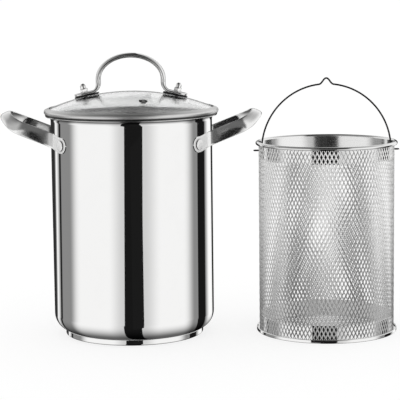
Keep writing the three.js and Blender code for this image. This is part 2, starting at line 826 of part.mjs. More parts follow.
// Centre line of the bail's wire, from one turned-out end to the other, about the pivot's height.
function bailPath() {
  const radius = bandInner - bailClearance - bailWire;
  const stubReach = rimCurlRadius + stubOverhang;
  const archHeight = radius + bailStretch;
  const peakZ = archHeight + bailPeakRise;
  const start = Math.asin(bailElbow / archHeight);
  const peak = Math.acos(bailPeakHalfWidth / radius);
  const shoulderZ = archHeight * Math.sin(peak);
  const elbowX = radius + bailElbow;
  const rise = (sign) =>
    new THREE.CubicBezierCurve(
      new THREE.Vector2(sign * bailPeakHalfWidth, shoulderZ),
      new THREE.Vector2((sign * bailPeakHalfWidth) / 2, shoulderZ),
      new THREE.Vector2(sign * bailPeakTip, peakZ),
      new THREE.Vector2(0, peakZ),
    );
  const fall = rise(-1);
  [fall.v0, fall.v1, fall.v2, fall.v3] = [fall.v3, fall.v2, fall.v1, fall.v0];
  return [
    [straight([stubReach, 0], [elbowX, 0]), 1],
    [bend([elbowX, bailElbow], bailElbow, bailElbow, -Math.PI / 2, -Math.PI), elbowSteps],
    [bend([0, 0], radius, archHeight, start, peak), bailSideSteps],
    [rise(1), bailPeakSteps],
    [fall, bailPeakSteps],
    [bend([0, 0], radius, archHeight, Math.PI - peak, Math.PI - start), bailSideSteps],
    [bend([-elbowX, bailElbow], bailElbow, bailElbow, 0, -Math.PI / 2), elbowSteps],
    [straight([-elbowX, 0], [-stubReach, 0]), 1],
  ];
}

function buildBasket() {
  const basket = new THREE.Group();
  const hole = bailHole();
  basket.position.x = basketX;
  basket.add(part('basket_rim_band', cut(revolveRing(rimBandProfile()), [hole]), polished));
  basket.add(part('basket_mesh_wall', cut(meshWallGeometry(), [hole]), satin));
  basket.add(part('basket_base_band', revolveRing(baseBandProfile()), polished));
  basket.add(part('basket_mesh_floor', revolve(floorProfile()), satin));
  const wire = toGeometry(toSolid(sweep(bailWire, bailWire, bailPath(), wireFacets)));
  const bail = part('bail_wire', wire, satin);
  bail.position.z = bailPivotZ;
  basket.add(bail);
  return basket;
}

const stockpot = new THREE.Group();
stockpot.name = 'stockpot_with_basket';
stockpot.add(buildPot(), buildLid(), buildBasket());

export default stockpot;
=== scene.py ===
import math

import bmesh
import bpy
import numpy as np
from mathutils import Matrix, Vector


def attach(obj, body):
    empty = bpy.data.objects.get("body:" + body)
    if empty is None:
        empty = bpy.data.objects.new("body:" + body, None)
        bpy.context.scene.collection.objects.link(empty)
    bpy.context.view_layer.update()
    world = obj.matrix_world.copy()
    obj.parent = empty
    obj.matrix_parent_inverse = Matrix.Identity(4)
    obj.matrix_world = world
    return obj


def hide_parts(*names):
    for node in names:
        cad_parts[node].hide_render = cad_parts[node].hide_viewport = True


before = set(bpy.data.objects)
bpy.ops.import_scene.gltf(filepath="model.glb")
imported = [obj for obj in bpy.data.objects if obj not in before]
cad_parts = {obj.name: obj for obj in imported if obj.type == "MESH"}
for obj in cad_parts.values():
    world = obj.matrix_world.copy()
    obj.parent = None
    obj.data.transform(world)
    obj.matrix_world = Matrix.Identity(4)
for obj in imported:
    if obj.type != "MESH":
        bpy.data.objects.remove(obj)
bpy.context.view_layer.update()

# Pot shell: one sheet of stainless steel, drawn deep, with a round bottom corner and a rim bent outward.
# It is mirror-polished outside and turned to a fine satin inside, where its tint is darker: painted shade for
# the shadow inside the pot.
MM = 0.001
POT_RADIUS = 80
POT_HEIGHT = 219.2
POT_WALL = 0.8
POT_CORNER = 17
RIM_RADIUS = 85
RIM_BEND = 5
SHELL_BOTTOM = 4.8
ROUND = 256
RIM_STEPS = 12
CORNER_STEPS = 24
LONG_RUN = 2
END_STEP = 0.25


def add(tree, kind, inputs=None, **settings):
    """A node in a tree, with its settings, and each input given as a value or as the socket it comes from."""
    made = tree.nodes.new(kind)
    for key, value in settings.items():
        setattr(made, key, value)
    for key, value in (inputs or {}).items():
        if isinstance(value, bpy.types.NodeSocket):
            tree.links.new(value, made.inputs[key])
        else:
            made.inputs[key].default_value = value
    return made


def worked(tree, operation, *values):
    """The outcome of a sum on values or sockets."""
    return add(tree, "ShaderNodeMath", dict(enumerate(values)), operation=operation).outputs[0]


def ramp(tree, value, start, stop, low=0.0, high=1.0, soft=False):
    """A value brought from one span to another, with soft ends if asked."""
    spans = {"Value": value, "From Min": start, "From Max": stop, "To Min": low, "To Max": high}
    kind = "SMOOTHSTEP" if soft else "LINEAR"
    return add(tree, "ShaderNodeMapRange", spans, interpolation_type=kind).outputs["Result"]


def new_group(name, inputs, outputs):
    """An empty shader node group, with its own input and output nodes."""
    group = bpy.data.node_groups.new(name, "ShaderNodeTree")
    for label, kind, value in inputs:
        socket = group.interface.new_socket(label, in_out="INPUT", socket_type=kind)
        socket.default_value = value
    for label, kind in outputs:
        group.interface.new_socket(label, in_out="OUTPUT", socket_type=kind)
    return group, group.nodes.new("NodeGroupInput"), group.nodes.new("NodeGroupOutput")


# Fine lines that a polishing wheel or belt leaves: noise drawn out along one direction.
polish_lines, given, result = new_group(
    "polish_lines",
    [("Grain", "NodeSocketVector", (60, 60, 2500)), ("Contrast", "NodeSocketFloat", 0.5)],
    [("Lines", "NodeSocketFloat")],
)
place = add(polish_lines, "ShaderNodeTexCoord").outputs["Object"]
drawn = add(polish_lines, "ShaderNodeVectorMath", {0: place, 1: given.outputs["Grain"]}, operation="MULTIPLY")
noise = add(
    polish_lines,
    "ShaderNodeTexNoise",
    {"Vector": drawn.outputs[0], "Scale": 1.0, "Detail": 3.0, "Roughness": 0.6},
)
low = worked(polish_lines, "SUBTRACT", 0.5, given.outputs["Contrast"])
high = worked(polish_lines, "ADD", 0.5, given.outputs["Contrast"])
lines = ramp(polish_lines, noise.outputs["Fac"], 0.3, 0.7, low, high)
polish_lines.links.new(lines, result.inputs["Lines"])

# Faint marks of wiping and handling, larger and softer than the polishing lines.
handling_marks, given, result = new_group(
    "handling_marks",
    [("Size", "NodeSocketFloat", 40.0), ("Amount", "NodeSocketFloat", 0.5)],
    [("Marks", "NodeSocketFloat")],
)
place = add(handling_marks, "ShaderNodeTexCoord").outputs["Object"]
cloud = add(
    handling_marks,
    "ShaderNodeTexNoise",
    {"Vector": place, "Scale": given.outputs["Size"], "Detail": 5.0, "Roughness": 0.55, "Distortion": 0.4},
)
patches = ramp(handling_marks, cloud.outputs["Fac"], 0.48, 0.72)
weighed = worked(handling_marks, "MULTIPLY", patches, given.outputs["Amount"])
handling_marks.links.new(weighed, result.inputs["Marks"])


def blank_material(name):
    """A material with nothing in its node tree yet, and that tree."""
    made = bpy.data.materials.new(name)
    made.use_nodes = True
    made.node_tree.nodes.clear()
    return made, made.node_tree


def marked_tint(tree, light, dark, size, amount):
    """A colour that goes from light to dark with the handling marks, and the marks themselves."""
    handled = {"Size": size, "Amount": amount}
    marks = add(tree, "ShaderNodeGroup", handled, node_tree=handling_marks).outputs["Marks"]
    tint = add(tree, "ShaderNodeMix", {"Factor": marks, "A": (*light, 1), "B": (*dark, 1)}, data_type="RGBA")
    return tint.outputs["Result"], marks


def surfaced(tree, kind, finish):
    """The material's shader, with its finish, joined to the material's output."""
    shader = add(tree, kind, finish)
    add(tree, "ShaderNodeOutputMaterial", {"Surface": shader.outputs[0]})


def steel(name, light, dark, smooth, rough, grain, bump, marks=(40.0, 0.5), metal=1.0, foot=None):
    """Polished steel: tint and roughness vary between two values with the polishing lines and handling marks.

    The foot paints shade low down: it gives the share of the tint that is left at the bottom, and the two
    heights, in metres, between which it comes back in full.
    """
    made, tree = blank_material(name)
    lines = add(tree, "ShaderNodeGroup", {"Grain": grain}, node_tree=polish_lines).outputs["Lines"]
    tint, blotch = marked_tint(tree, light, dark, *marks)
    # Painted shade: with a foot, the tint is darkened low down, toward the floor.
    if foot:
        share, low, high = foot
        place = add(tree, "ShaderNodeTexCoord").outputs["Object"]
        height = add(tree, "ShaderNodeSeparateXYZ", {0: place}).outputs["Z"]
        painted_shade_ramp = ramp(tree, height, low, high, share, soft=True)
        greyed = {"Factor": 1.0, "A": tint, "B": painted_shade_ramp}
        tint = add(tree, "ShaderNodeMix", greyed, data_type="RGBA", blend_type="MULTIPLY").outputs["Result"]
    gloss = ramp(tree, worked(tree, "ADD", lines, blotch), 0.0, 1.6, smooth, rough)
    relief = add(tree, "ShaderNodeBump", {"Height": lines, "Strength": bump, "Distance": 0.0001})
    finish = {"Base Color": tint, "Metallic": metal, "Roughness": gloss, "Normal": relief.outputs["Normal"]}
    surfaced(tree, "ShaderNodeBsdfPrincipled", finish)
    return made


def arc(centre, across, up, start, stop, steps):
    """Points along an arc of an outline, with angles in degrees."""
    turns = np.radians(np.linspace(start, stop, steps + 1))
    return [(centre[0] + across * math.cos(t), centre[1] + up * math.sin(t)) for t in turns]


def bend(centre, radius, start, stop, steps):
    """Points along a round bend of an outline."""
    return arc(centre, radius, radius, start, stop, steps)


def made_piece(name, points, faces, materials, sharp=32, slots=None):
    """A mesh object from points in millimetres, smooth except across sharp edges."""
    mesh = bpy.data.meshes.new(name)
    mesh.from_pydata((np.asarray(points, float) * MM).tolist(), [], faces)
    for material in materials:
        mesh.materials.append(material)
    if slots is not None:
        mesh.polygons.foreach_set("material_index", slots)
    work = bmesh.new()
    work.from_mesh(mesh)
    bmesh.ops.remove_doubles(work, verts=work.verts, dist=1e-7)
    bmesh.ops.recalc_face_normals(work, faces=work.faces)
    work.to_mesh(mesh)
    work.free()
    mesh.shade_smooth()
    mesh.set_sharp_from_angle(angle=math.radians(sharp))
    made = bpy.data.objects.new(name, mesh)
    bpy.context.scene.collection.objects.link(made)
    return made


def moved(points, place):
    """Points put where a frame says."""
    return np.array([tuple(place @ Vector(p)) for p in points])


def turned(outline, segments=ROUND, place=None):
    """Points and faces of an outline of (radius, height) spun round the Z axis, and each face's outline step.

    A long straight run gets a short step at each end, so that it shines as a straight wall up to its corners.
    """
    corners = np.asarray(outline, float)
    closed = not (corners[0, 0] < 1e-6 and corners[-1, 0] < 1e-6)
    outline, origin = [], []
    for i, corner in enumerate(corners):
        outline.append(corner)
        origin.append(i)
        run = corners[(i + 1) % len(corners)] - corner
        length = np.linalg.norm(run)
        if length > LONG_RUN and (closed or i < len(corners) - 1):
            outline += [corner + run * END_STEP / length, corner + run * (1 - END_STEP / length)]
            origin += [i, i]
    outline = np.array(outline)
    on_axis = outline[:, 0] < 1e-6
    turns = np.arange(segments) * 2 * math.pi / segments
    points, start = [], []
    for (radius, height), single in zip(outline, on_axis):
        start.append(len(points))
        if single:
            points.append((0, 0, height))
        else:
            points.extend((radius * math.cos(t), radius * math.sin(t), height) for t in turns)
    faces, steps = [], []
    count = len(outline)
    for i in range(count if closed else count - 1):
        j = (i + 1) % count
        for k in range(segments):
            m = (k + 1) % segments
            a, b = (start[i], start[i]) if on_axis[i] else (start[i] + k, start[i] + m)
            c, d = (start[j], start[j]) if on_axis[j] else (start[j] + m, start[j] + k)
            face = list(dict.fromkeys((a, b, c, d)))
            if len(face) > 2:
                faces.append(face)
                steps.append(origin[i])
    points = np.array(points)
    if place is not None:
        points = moved(points, place)
    return points, faces, steps


def kept(piece, body, slot, *nodes, mirrored=True):
    """The piece rides on its body and stands for its CAD nodes, which are hidden. The slot is not used.

    A piece that isn't mirrored stays out of the reflections in the polished steel.
    """
    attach(piece, body)
    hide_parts(*nodes)
    piece.visible_glossy = mirrored


mirror_steel = steel(
    "mirror_steel",
    light=(0.905, 0.903, 0.898), dark=(0.885, 0.883, 0.877),
    smooth=0.015, rough=0.05, grain=(25, 25, 1800), bump=0.01,
)
# Painted shade: the inside's satin steel has a much darker tint than the outside, for the shadow in the pot.
shaded_turned_steel = steel(
    "shaded_turned_steel",
    light=(0.56, 0.558, 0.552), dark=(0.5, 0.498, 0.492),
    smooth=0.14, rough=0.26, grain=(40, 40, 2600), bump=0.12,
)

corner = (POT_RADIUS - POT_CORNER, SHELL_BOTTOM + POT_CORNER)
rim = (POT_RADIUS - POT_WALL + RIM_BEND, POT_HEIGHT - RIM_BEND)
rim_edge = POT_WALL / 2
shell_outside = [(0, SHELL_BOTTOM)]
shell_outside += bend(corner, POT_CORNER, -90, 0, CORNER_STEPS)
shell_outside += bend(rim, RIM_BEND - POT_WALL, 180, 90, RIM_STEPS)
shell_outside += bend((RIM_RADIUS - rim_edge, POT_HEIGHT - rim_edge), rim_edge, -90, 90, 8)
shell_inside = bend(rim, RIM_BEND, 90, 180, RIM_STEPS)
shell_inside += bend(corner, POT_CORNER - POT_WALL, 0, -90, CORNER_STEPS)
shell_inside += [(0, SHELL_BOTTOM + POT_WALL)]
points, faces, steps = turned(shell_outside + shell_inside)
inside_from = len(shell_outside) + RIM_STEPS
slots = [int(step >= inside_from) for step in steps]
shell = made_piece("pot_shell_skin", points, faces, [mirror_steel, shaded_turned_steel], slots=slots)
kept(shell, "pot", "polished_steel", "pot_shell", mirrored=False)

# Base cap: a shallow polished pan pressed over the aluminium disc that spreads the heat. Its underside is
# turned flat, with fine rings, and the disc itself stays sealed inside.
CAP_RADIUS = 69
CAP_SHEET = 0.5
CAP_CORNER = 1.5
CAP_TOP = 5.4
ringed_steel = steel(
    "ringed_steel",
    light=(0.78, 0.775, 0.765), dark=(0.66, 0.655, 0.645),
    smooth=0.2, rough=0.38, grain=(1500, 1500, 60), bump=0.2,
)
cap_corner = (CAP_RADIUS - CAP_CORNER, CAP_CORNER)
cap_edge = CAP_SHEET / 2
cap = [(0, 0)]
cap += bend(cap_corner, CAP_CORNER, -90, 0, 10)
cap += bend((CAP_RADIUS - cap_edge, CAP_TOP), cap_edge, 0, 180, 8)
cap += bend(cap_corner, CAP_CORNER - CAP_SHEET, 0, -90, 6)
cap += [(0, CAP_SHEET)]
points, faces, steps = turned(cap)
slots = [int(step == 0) for step in steps]
pan = made_piece("base_cap_skin", points, faces, [mirror_steel, ringed_steel], slots=slots)
kept(pan, "pot", "polished_steel", "base_cap", mirrored=False)
core_aluminium = steel(
    "core_aluminium",
    light=(0.72, 0.72, 0.72), dark=(0.6, 0.6, 0.6),
    smooth=0.35, rough=0.55, grain=(900, 900, 900), bump=0.2,
)
core_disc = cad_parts["base_core_disc"]
core_disc.data.materials.clear()
core_disc.data.materials.append(core_aluminium)
core_disc.visible_glossy = False

# Side handles: each is one strap of steel, bent out from the wall, round the grip and back. The grip turns up
# and is crowned, and the strap ends in round tabs that lie on the wall. Belt-polished along its length, paler
# on the tabs. The edges and back of each tab's round end are near black: painted shade for the shadow in the
# seam round them.
SEAT_GAP = 0.3
STRAP = 1.6
HALF_SPAN = 31
STRAP_BEND = 3
TAB_HEIGHT = 15.4
TAB_CENTRE = POT_HEIGHT - 26.2
TAB_REACH = 16.44
ROOT_TOP = TAB_CENTRE + 11.6
ROOT_BOTTOM = TAB_CENTRE - 3.1
TOP_EDGE = {"reach": 39.5, "depth": 16.5, "root": ROOT_TOP, "slope": 0.39, "peak": TAB_CENTRE + 30.6}
BOTTOM_EDGE = {"reach": 49.8, "depth": 18.8, "root": ROOT_BOTTOM, "slope": 0.405, "peak": TAB_CENTRE + 26.2}
ARM_SHARE = 0.35
STRAP_CROWN = 1.6
ARM_CROWN = 0.6
TAB_LEAN = 0.5
EASE = 4
EASE_START, EASE_SPAN = 3, 6
ARM_START, ARM_SPAN = 3, 12
STRAP_EDGE = 0.45
FACE_SPOTS = 11
TAB_ROUND = 11
TAB_SPOTS = 36
strap_radius = POT_RADIUS + SEAT_GAP + STRAP
tab_angle = math.asin((HALF_SPAN + TAB_REACH) / strap_radius)

belt_steel = steel(
    "belt_steel",
    light=(0.9, 0.898, 0.892), dark=(0.84, 0.837, 0.83),
    smooth=0.1, rough=0.22, grain=(60, 900, 1600), bump=0.05,
)
tab_steel = steel(
    "tab_steel",
    light=(0.93, 0.928, 0.922), dark=(0.87, 0.867, 0.86),
    smooth=0.3, rough=0.45, grain=(900, 900, 900), bump=0.05,
    metal=0.3,
)
# Painted shade: near-black steel for the shadow in seams and grooves, round tabs, rivets, the lid's bead and
# vent.
painted_seam_shade = steel(
    "painted_seam_shade",
    light=(0.05, 0.05, 0.05), dark=(0.02, 0.02, 0.02),
    smooth=0.3, rough=0.5, grain=(40, 40, 2600), bump=0.1,
)


def strap_edges():
    """Both edges of the strap's outer face, from the front tab's round end to the middle of the grip."""
    half = TAB_HEIGHT / 2
    bend_radius = strap_radius + STRAP_BEND
    bend_angle = math.asin((HALF_SPAN + STRAP_BEND) / bend_radius)
    root_x = bend_radius * math.cos(bend_angle)
    edges = []

    def on_wall(angle):
        return (strap_radius * math.cos(angle), -strap_radius * math.sin(angle))

    def put(plan, top, bottom):
        edges.append((Vector((*plan, top)), Vector((*plan, bottom))))

    for turn in np.radians(np.linspace(3, 87, 15)):
        plan = on_wall(tab_angle + half * math.cos(turn) / strap_radius)
        put(plan, TAB_CENTRE + half * math.sin(turn), TAB_CENTRE - half * math.sin(turn))
    wall_length = (tab_angle - bend_angle) * strap_radius
    bend_turn = math.pi / 2 - bend_angle
    whole = wall_length + bend_turn * STRAP_BEND
    for length in np.linspace(0, whole, 26):
        if length < wall_length:
            plan = on_wall(tab_angle - length / strap_radius)
        else:
            heading = math.pi - bend_angle - (length - wall_length) / STRAP_BEND
            y = -HALF_SPAN - STRAP_BEND + STRAP_BEND * math.sin(heading)
            plan = (root_x + STRAP_BEND * math.cos(heading), y)
        share = (length / whole) ** 2
        rise = TAB_CENTRE + half + (ROOT_TOP - TAB_CENTRE - half) * share
        fall = TAB_CENTRE - half + (ROOT_BOTTOM - TAB_CENTRE + half) * share
        put(plan, rise, fall)

    def edge(share, reach, depth, root, slope, peak):
        peak_x = POT_RADIUS + reach
        straight_x = peak_x - depth
        if share <= ARM_SHARE:
            x = root_x + (straight_x - root_x) * share / ARM_SHARE
            return Vector((x, -HALF_SPAN, root + slope * (x - root_x)))
        turn = (share - ARM_SHARE) / (1 - ARM_SHARE) * math.pi / 2
        x = straight_x + depth * math.sin(turn)
        curl = peak - root - slope * (peak_x - root_x)
        z = root + slope * (x - root_x) + curl * math.sin(turn) ** 2
        return Vector((x, -HALF_SPAN * math.cos(turn), z))

    for share in np.linspace(0, 1, 65)[1:]:
        edges.append((edge(share, **TOP_EDGE), edge(share, **BOTTOM_EDGE)))
    return edges


def eased(stations):
    """The strap's edges, with its bends eased into each other as in steel bent over round formers."""
    spots = np.array([[tuple(top), tuple(bottom)] for top, bottom in stations])
    middle = spots.mean(axis=1)
    run = np.concatenate([[0], np.cumsum(np.linalg.norm(np.diff(middle, axis=0), axis=1))])
    share = np.gradient(run)
    from_end = np.minimum(run, run[-1] - run) - TAB_HEIGHT / 2
    made = []
    for i, spot in enumerate(spots):
        ease = EASE * min(max((from_end[i] - EASE_START) / EASE_SPAN, 0), 1)
        if ease > 0.1:
            weight = share * np.exp(-0.5 * ((run - run[i]) / ease) ** 2)
            spot = np.tensordot(weight / weight.sum(), spots, axes=1)
        made.append((Vector(spot[0]), Vector(spot[1])))
    return made


def strap_sections():
    """Closed sections of the strap, with rounded edges, from one tab round the grip to the other tab."""
    front = strap_edges()
    back = [tuple(Vector((p.x, -p.y, p.z)) for p in pair) for pair in front[-2::-1]]
    stations = eased(front + back)
    sections = []
    for i, (top, bottom) in enumerate(stations):
        before = stations[max(i - 1, 0)]
        after = stations[min(i + 1, len(stations) - 1)]
        along = (after[0] + after[1] - before[0] - before[1]).normalized()
        inward = (top - bottom).cross(along).normalized()
        width = (bottom - top).length
        down = (bottom - top).normalized()
        away = min(max((top.x - POT_RADIUS - ARM_START) / ARM_SPAN, 0), 1)
        raised = max(0, -inward.z)
        crown = STRAP_CROWN * raised + ARM_CROWN * away * (1 - raised)
        lean = TAB_LEAN * (1 - away)
        edge = min(STRAP_EDGE, width * 0.3)
        far = width - edge
        deep = STRAP - edge
        spots = [(a, 0) for a in np.linspace(edge, far, FACE_SPOTS)]
        spots += bend((far, edge), edge, -90, 0, 3)[1:]
        spots += bend((far, deep), edge, 0, 90, 3)
        spots += [(a, STRAP) for a in np.linspace(far, edge, FACE_SPOTS)[1:]]
        spots += bend((edge, deep), edge, 90, 180, 3)[1:]
        spots += bend((edge, edge), edge, 180, 270, 3)[:-1]
        section = []
        for a, depth in spots:
            off = 2 * a / width - 1
            bulge = crown * (1 - abs(off) ** (2 + 2 * raised))
            if depth < STRAP / 2:
                bulge -= lean * (1 - a / width)
            section.append(top + down * a + inward * (depth - bulge))
        sections.append(section)
    return sections


def lofted(sections):
    """Points and faces of a closed skin through sections of as many points each, with flat ends."""
    count = len(sections[0])
    points = np.array([tuple(p) for section in sections for p in section])
    faces = []
    for i in range(len(sections) - 1):
        for j in range(count):
            a, b = i * count + j, i * count + (j + 1) % count
            faces.append((a, b, b + count, a + count))
    last = (len(sections) - 1) * count
    faces.append(tuple(range(count))[::-1])
    faces.append(tuple(range(last, last + count)))
    return points, faces


strap = strap_sections()
strap_points, strap_faces = lofted(strap)
around = len(strap[0])
# Faces on the edges and back of each tab's round end take the painted seam shade.
slots = []
for face in range(len(strap_faces)):
    from_end = min(face // around, len(strap) - 2 - face // around)
    hidden = face % around >= FACE_SPOTS
    slots.append(2 if from_end < TAB_ROUND and hidden else 1 if from_end < TAB_SPOTS else 0)
strap_finishes = [belt_steel, tab_steel, painted_seam_shade]
for side, sign in (("right", 1), ("left", -1)):
    points = strap_points * (sign, sign, 1)
    handle = made_piece(f"{side}_strap", points, strap_faces, strap_finishes, slots=slots)
    kept(handle, "pot", "satin_steel", f"{side}_handle", mirrored=False)

# Rivets: one steel rivet through each tab and the pot's wall, with a low dome outside and a flatter head inside
# the pot, closed against the wall. The rim of the outer head, where it meets the tab, is near black: painted
# shade for the shadow in the seam round it.
SMALL_ROUND = 48
RIVET_SHANK = 2.4
RIVET_HEAD = 5.2
RIVET_HEAD_HEIGHT = 1.9
RIVET_INNER = 4.6
RIVET_INNER_HEIGHT = 1.3
RIVET_EDGE = 0.4
RIVET_ROUND = 0.3
RIVET_SEAM_STEPS = 6
inner_seat = math.sqrt((POT_RADIUS - POT_WALL) ** 2 - RIVET_INNER**2) - SEAT_GAP
outer_seat = strap_radius + SEAT_GAP
rivet = arc((0, inner_seat - RIVET_EDGE), RIVET_INNER, RIVET_INNER_HEIGHT - RIVET_EDGE, -90, 0, 10)
rivet += [(RIVET_INNER, inner_seat), (RIVET_SHANK, inner_seat), (RIVET_SHANK, outer_seat - 0.2)]
# The steps from here round the outer head's rim take the painted seam shade.
seam_from = len(rivet)
rivet += bend((RIVET_HEAD - RIVET_ROUND, outer_seat + 0.1), RIVET_ROUND, -90, 0, 4)
for turn in np.radians(np.linspace(4, 90, 17)):
    across, up = math.cos(turn) ** (2 / 3), math.sin(turn) ** (2 / 3)
    rivet.append((RIVET_HEAD * across, outer_seat + RIVET_EDGE + (RIVET_HEAD_HEIGHT - RIVET_EDGE) * up))
rivet[0] = (0, rivet[0][1])
rivet[-1] = (0, rivet[-1][1])


def radial_place(angle):
    """Frame on the pot's wall, whose Z axis points outward at that angle."""
    radial = Vector((math.cos(angle), math.sin(angle), 0))
    up = Vector((0, 0, 1))
    turn = Matrix((up.cross(radial), up, radial)).transposed().to_4x4()
    return Matrix.Translation((0, 0, TAB_CENTRE)) @ turn


for name, angle in (
    ("right_front_rivet", -tab_angle),
    ("right_back_rivet", tab_angle),
    ("left_front_rivet", math.pi + tab_angle),
    ("left_back_rivet", math.pi - tab_angle),
):
    points, faces, steps = turned(rivet, SMALL_ROUND, radial_place(angle))
    slots = [int(seam_from <= step <= seam_from + RIVET_SEAM_STEPS) for step in steps]
    head = made_piece(f"{name}_head", points, faces, [tab_steel, painted_seam_shade], slots=slots)
    kept(head, "pot", "polished_steel", name, mirrored=False)

# Lid glass: one disc of clear tempered glass, pressed to a shallow dome while hot, with a ground and polished
# edge. It is drilled for the vent and the handle's screws, and faint marks of wiping lie on it.
GLASS_RADIUS = 84.8
GLASS = 4
GLASS_RISE = 17.8
EDGE_ROUND = 1.2
EDGE_INSET = 0.9
RING_SHEET = 0.6
ring_bottom = POT_HEIGHT + SEAT_GAP
glass_edge = ring_bottom + RING_SHEET + SEAT_GAP + GLASS
dome_radius = (GLASS_RADIUS**2 + GLASS_RISE**2) / (2 * GLASS_RISE)
dome_centre = glass_edge + GLASS_RISE - dome_radius

lid_glass, tree = blank_material("lid_glass")
film = add(tree, "ShaderNodeGroup", {"Size": 28, "Amount": 0.6}, node_tree=handling_marks)
film_gloss = ramp(tree, film.outputs["Marks"], 0.0, 1.0, 0.0, 0.012)
clear = {"Base Color": (0.995, 1.0, 0.998, 1), "Roughness": film_gloss, "IOR": 1.36, "Transmission Weight": 1.0}
surfaced(tree, "ShaderNodeBsdfPrincipled", clear)


def dome_height(radius):
    """Height of the glass's upper face at a distance from its axis."""
    return dome_centre + math.sqrt(dome_radius**2 - radius**2)


edge_tilt = math.degrees(math.acos(GLASS_RADIUS / dome_radius))
dome = bend((0, dome_centre), dome_radius, 90, edge_tilt, 40)
dome[0] = (0, dome[0][1])
under = [(radius, height - GLASS) for radius, height in dome[::-1]]
edge = arc((GLASS_RADIUS - EDGE_ROUND, glass_edge - GLASS / 2), EDGE_ROUND, GLASS / 2, 80, -80, 8)
edge_start = GLASS_RADIUS - EDGE_INSET
dome[-1] = (edge_start, dome_height(edge_start))
under[0] = (edge_start, dome_height(edge_start) - GLASS)
points, faces, _ = turned(dome + edge + under)
kept(made_piece("lid_dome", points, faces, [lid_glass]), "lid", "clear_glass", "lid_glass")

# Lid rim ring: steel sheet rolled over the edge of the glass and pressed tight, with a skirt that drops inside
# the pot's rim and centres the lid. The outer bead is satin. The groove under it is near black, painted shade,
# and the ring's underside, inner faces and skirt take a darker steel, painted shade for the shadow they lie in.
RING_RADIUS = 86.5
RING_BEAD = 1.6
RING_UNDERCUT = 1.2
RING_LIP = 3.3
RING_GROOVE = 0.25
SKIRT_DEPTH = 7
SKIRT_CLEARANCE = 1
SKIRT_BEND = 0.5
ring_steel = steel(
    "ring_steel",
    light=(0.72, 0.718, 0.712), dark=(0.64, 0.638, 0.632),
    smooth=0.3, rough=0.45, grain=(30, 30, 2200), bump=0.05,
)
# Painted shade: a darker copy of the ring's steel, for its underside, inner faces and skirt, which lie in
# shadow.
shaded_ring_steel = steel(
    "shaded_ring_steel",
    light=(0.3, 0.298, 0.294), dark=(0.2, 0.198, 0.194),
    smooth=0.15, rough=0.3, grain=(40, 40, 2600), bump=0.1,
)
skirt = POT_RADIUS - POT_WALL - SKIRT_CLEARANCE
lip = GLASS_RADIUS - RING_LIP
ring_top = dome_height(GLASS_RADIUS) + SEAT_GAP + RING_SHEET
fold = RING_SHEET / 2
ring = bend((skirt + SKIRT_BEND, ring_bottom - SKIRT_BEND), SKIRT_BEND, 180, 90, 4)
groove = GLASS_RADIUS + SEAT_GAP + RING_GROOVE
ring += [(groove, ring_bottom), (groove, ring_bottom + RING_UNDERCUT)]
bead_from = len(ring)
bead_half = (ring_top - ring_bottom - RING_UNDERCUT) / 2
ring += arc((RING_RADIUS - RING_BEAD, ring_top - bead_half), RING_BEAD, bead_half, -90, 75, 24)
ring += bend((lip + fold, dome_height(lip) + SEAT_GAP + fold), fold, 75, 255, 6)
bead_to = len(ring) - 2
ring += [(GLASS_RADIUS + SEAT_GAP, dome_height(GLASS_RADIUS) + SEAT_GAP)]
ring += [(GLASS_RADIUS + SEAT_GAP, ring_bottom + RING_SHEET)]
ring += [(skirt - RING_SHEET, ring_bottom + RING_SHEET)]
ring += bend((skirt - fold, ring_bottom - SKIRT_DEPTH + fold), fold, 180, 360, 6)
points, faces, steps = turned(ring)
# The groove under the bead takes the near-black painted shade; all but the bead take the darker painted shade.
slots = []
for step in steps:
    under_bead = bead_from - 2 <= step < bead_from
    slots.append(0 if bead_from <= step < bead_to else 2 if under_bead else 1)
rim_ring = made_piece("lid_ring", points, faces, [ring_steel, shaded_ring_steel, painted_seam_shade], slots=slots)
kept(rim_ring, "lid", "satin_steel", "lid_rim_ring")

# Vent eyelet: a small steel tube through a hole in the glass, that lets steam out. Its ends are rolled over, on
# top and underneath, which holds it there. Its top, round the bore, takes the near-black painted seam shade.
VENT_DISTANCE = GLASS_RADIUS - 30.8
VENT_ANGLE = math.radians(-75.2)
VENT_BORE = 1.8
VENT_BARREL = 2.7
VENT_FLANGE = 4.3
VENT_FLANGE_HEIGHT = 0.8


def dome_place(distance, angle):
    """Frame on the glass, whose Z axis is the dome's normal and whose X axis runs outward and down."""
    tilt = math.asin(distance / dome_radius)
    place = Matrix.Translation((distance, 0, dome_height(distance)))
    return Matrix.Rotation(angle, 4, "Z") @ place @ Matrix.Rotation(tilt, 4, "Y")


roll = VENT_FLANGE_HEIGHT / 2
vent_top = SEAT_GAP + roll
vent_low = -GLASS - SEAT_GAP - roll
vent = [(VENT_BARREL, vent_low + roll), (VENT_BARREL, vent_top - roll)]
vent += bend((VENT_FLANGE - roll, vent_top), roll, -90, 90, 8)
dark_from = len(vent) - 5
vent += bend((VENT_BORE + roll, vent_top), roll, 90, 180, 4)
dark_to = len(vent) - 3
vent += bend((VENT_BORE + roll, vent_low), roll, 180, 270, 4)
vent += bend((VENT_FLANGE - roll, vent_low), roll, -90, 90, 8)
points, faces, steps = turned(vent, SMALL_ROUND, dome_place(VENT_DISTANCE, VENT_ANGLE))
# The top round the bore takes the painted seam shade.
slots = [int(dark_from <= step <= dark_to) for step in steps]
vent_rim = made_piece("vent_rim", points, faces, [mirror_steel, painted_seam_shade], slots=slots)
kept(vent_rim, "lid", "polished_steel", "vent_eyelet")

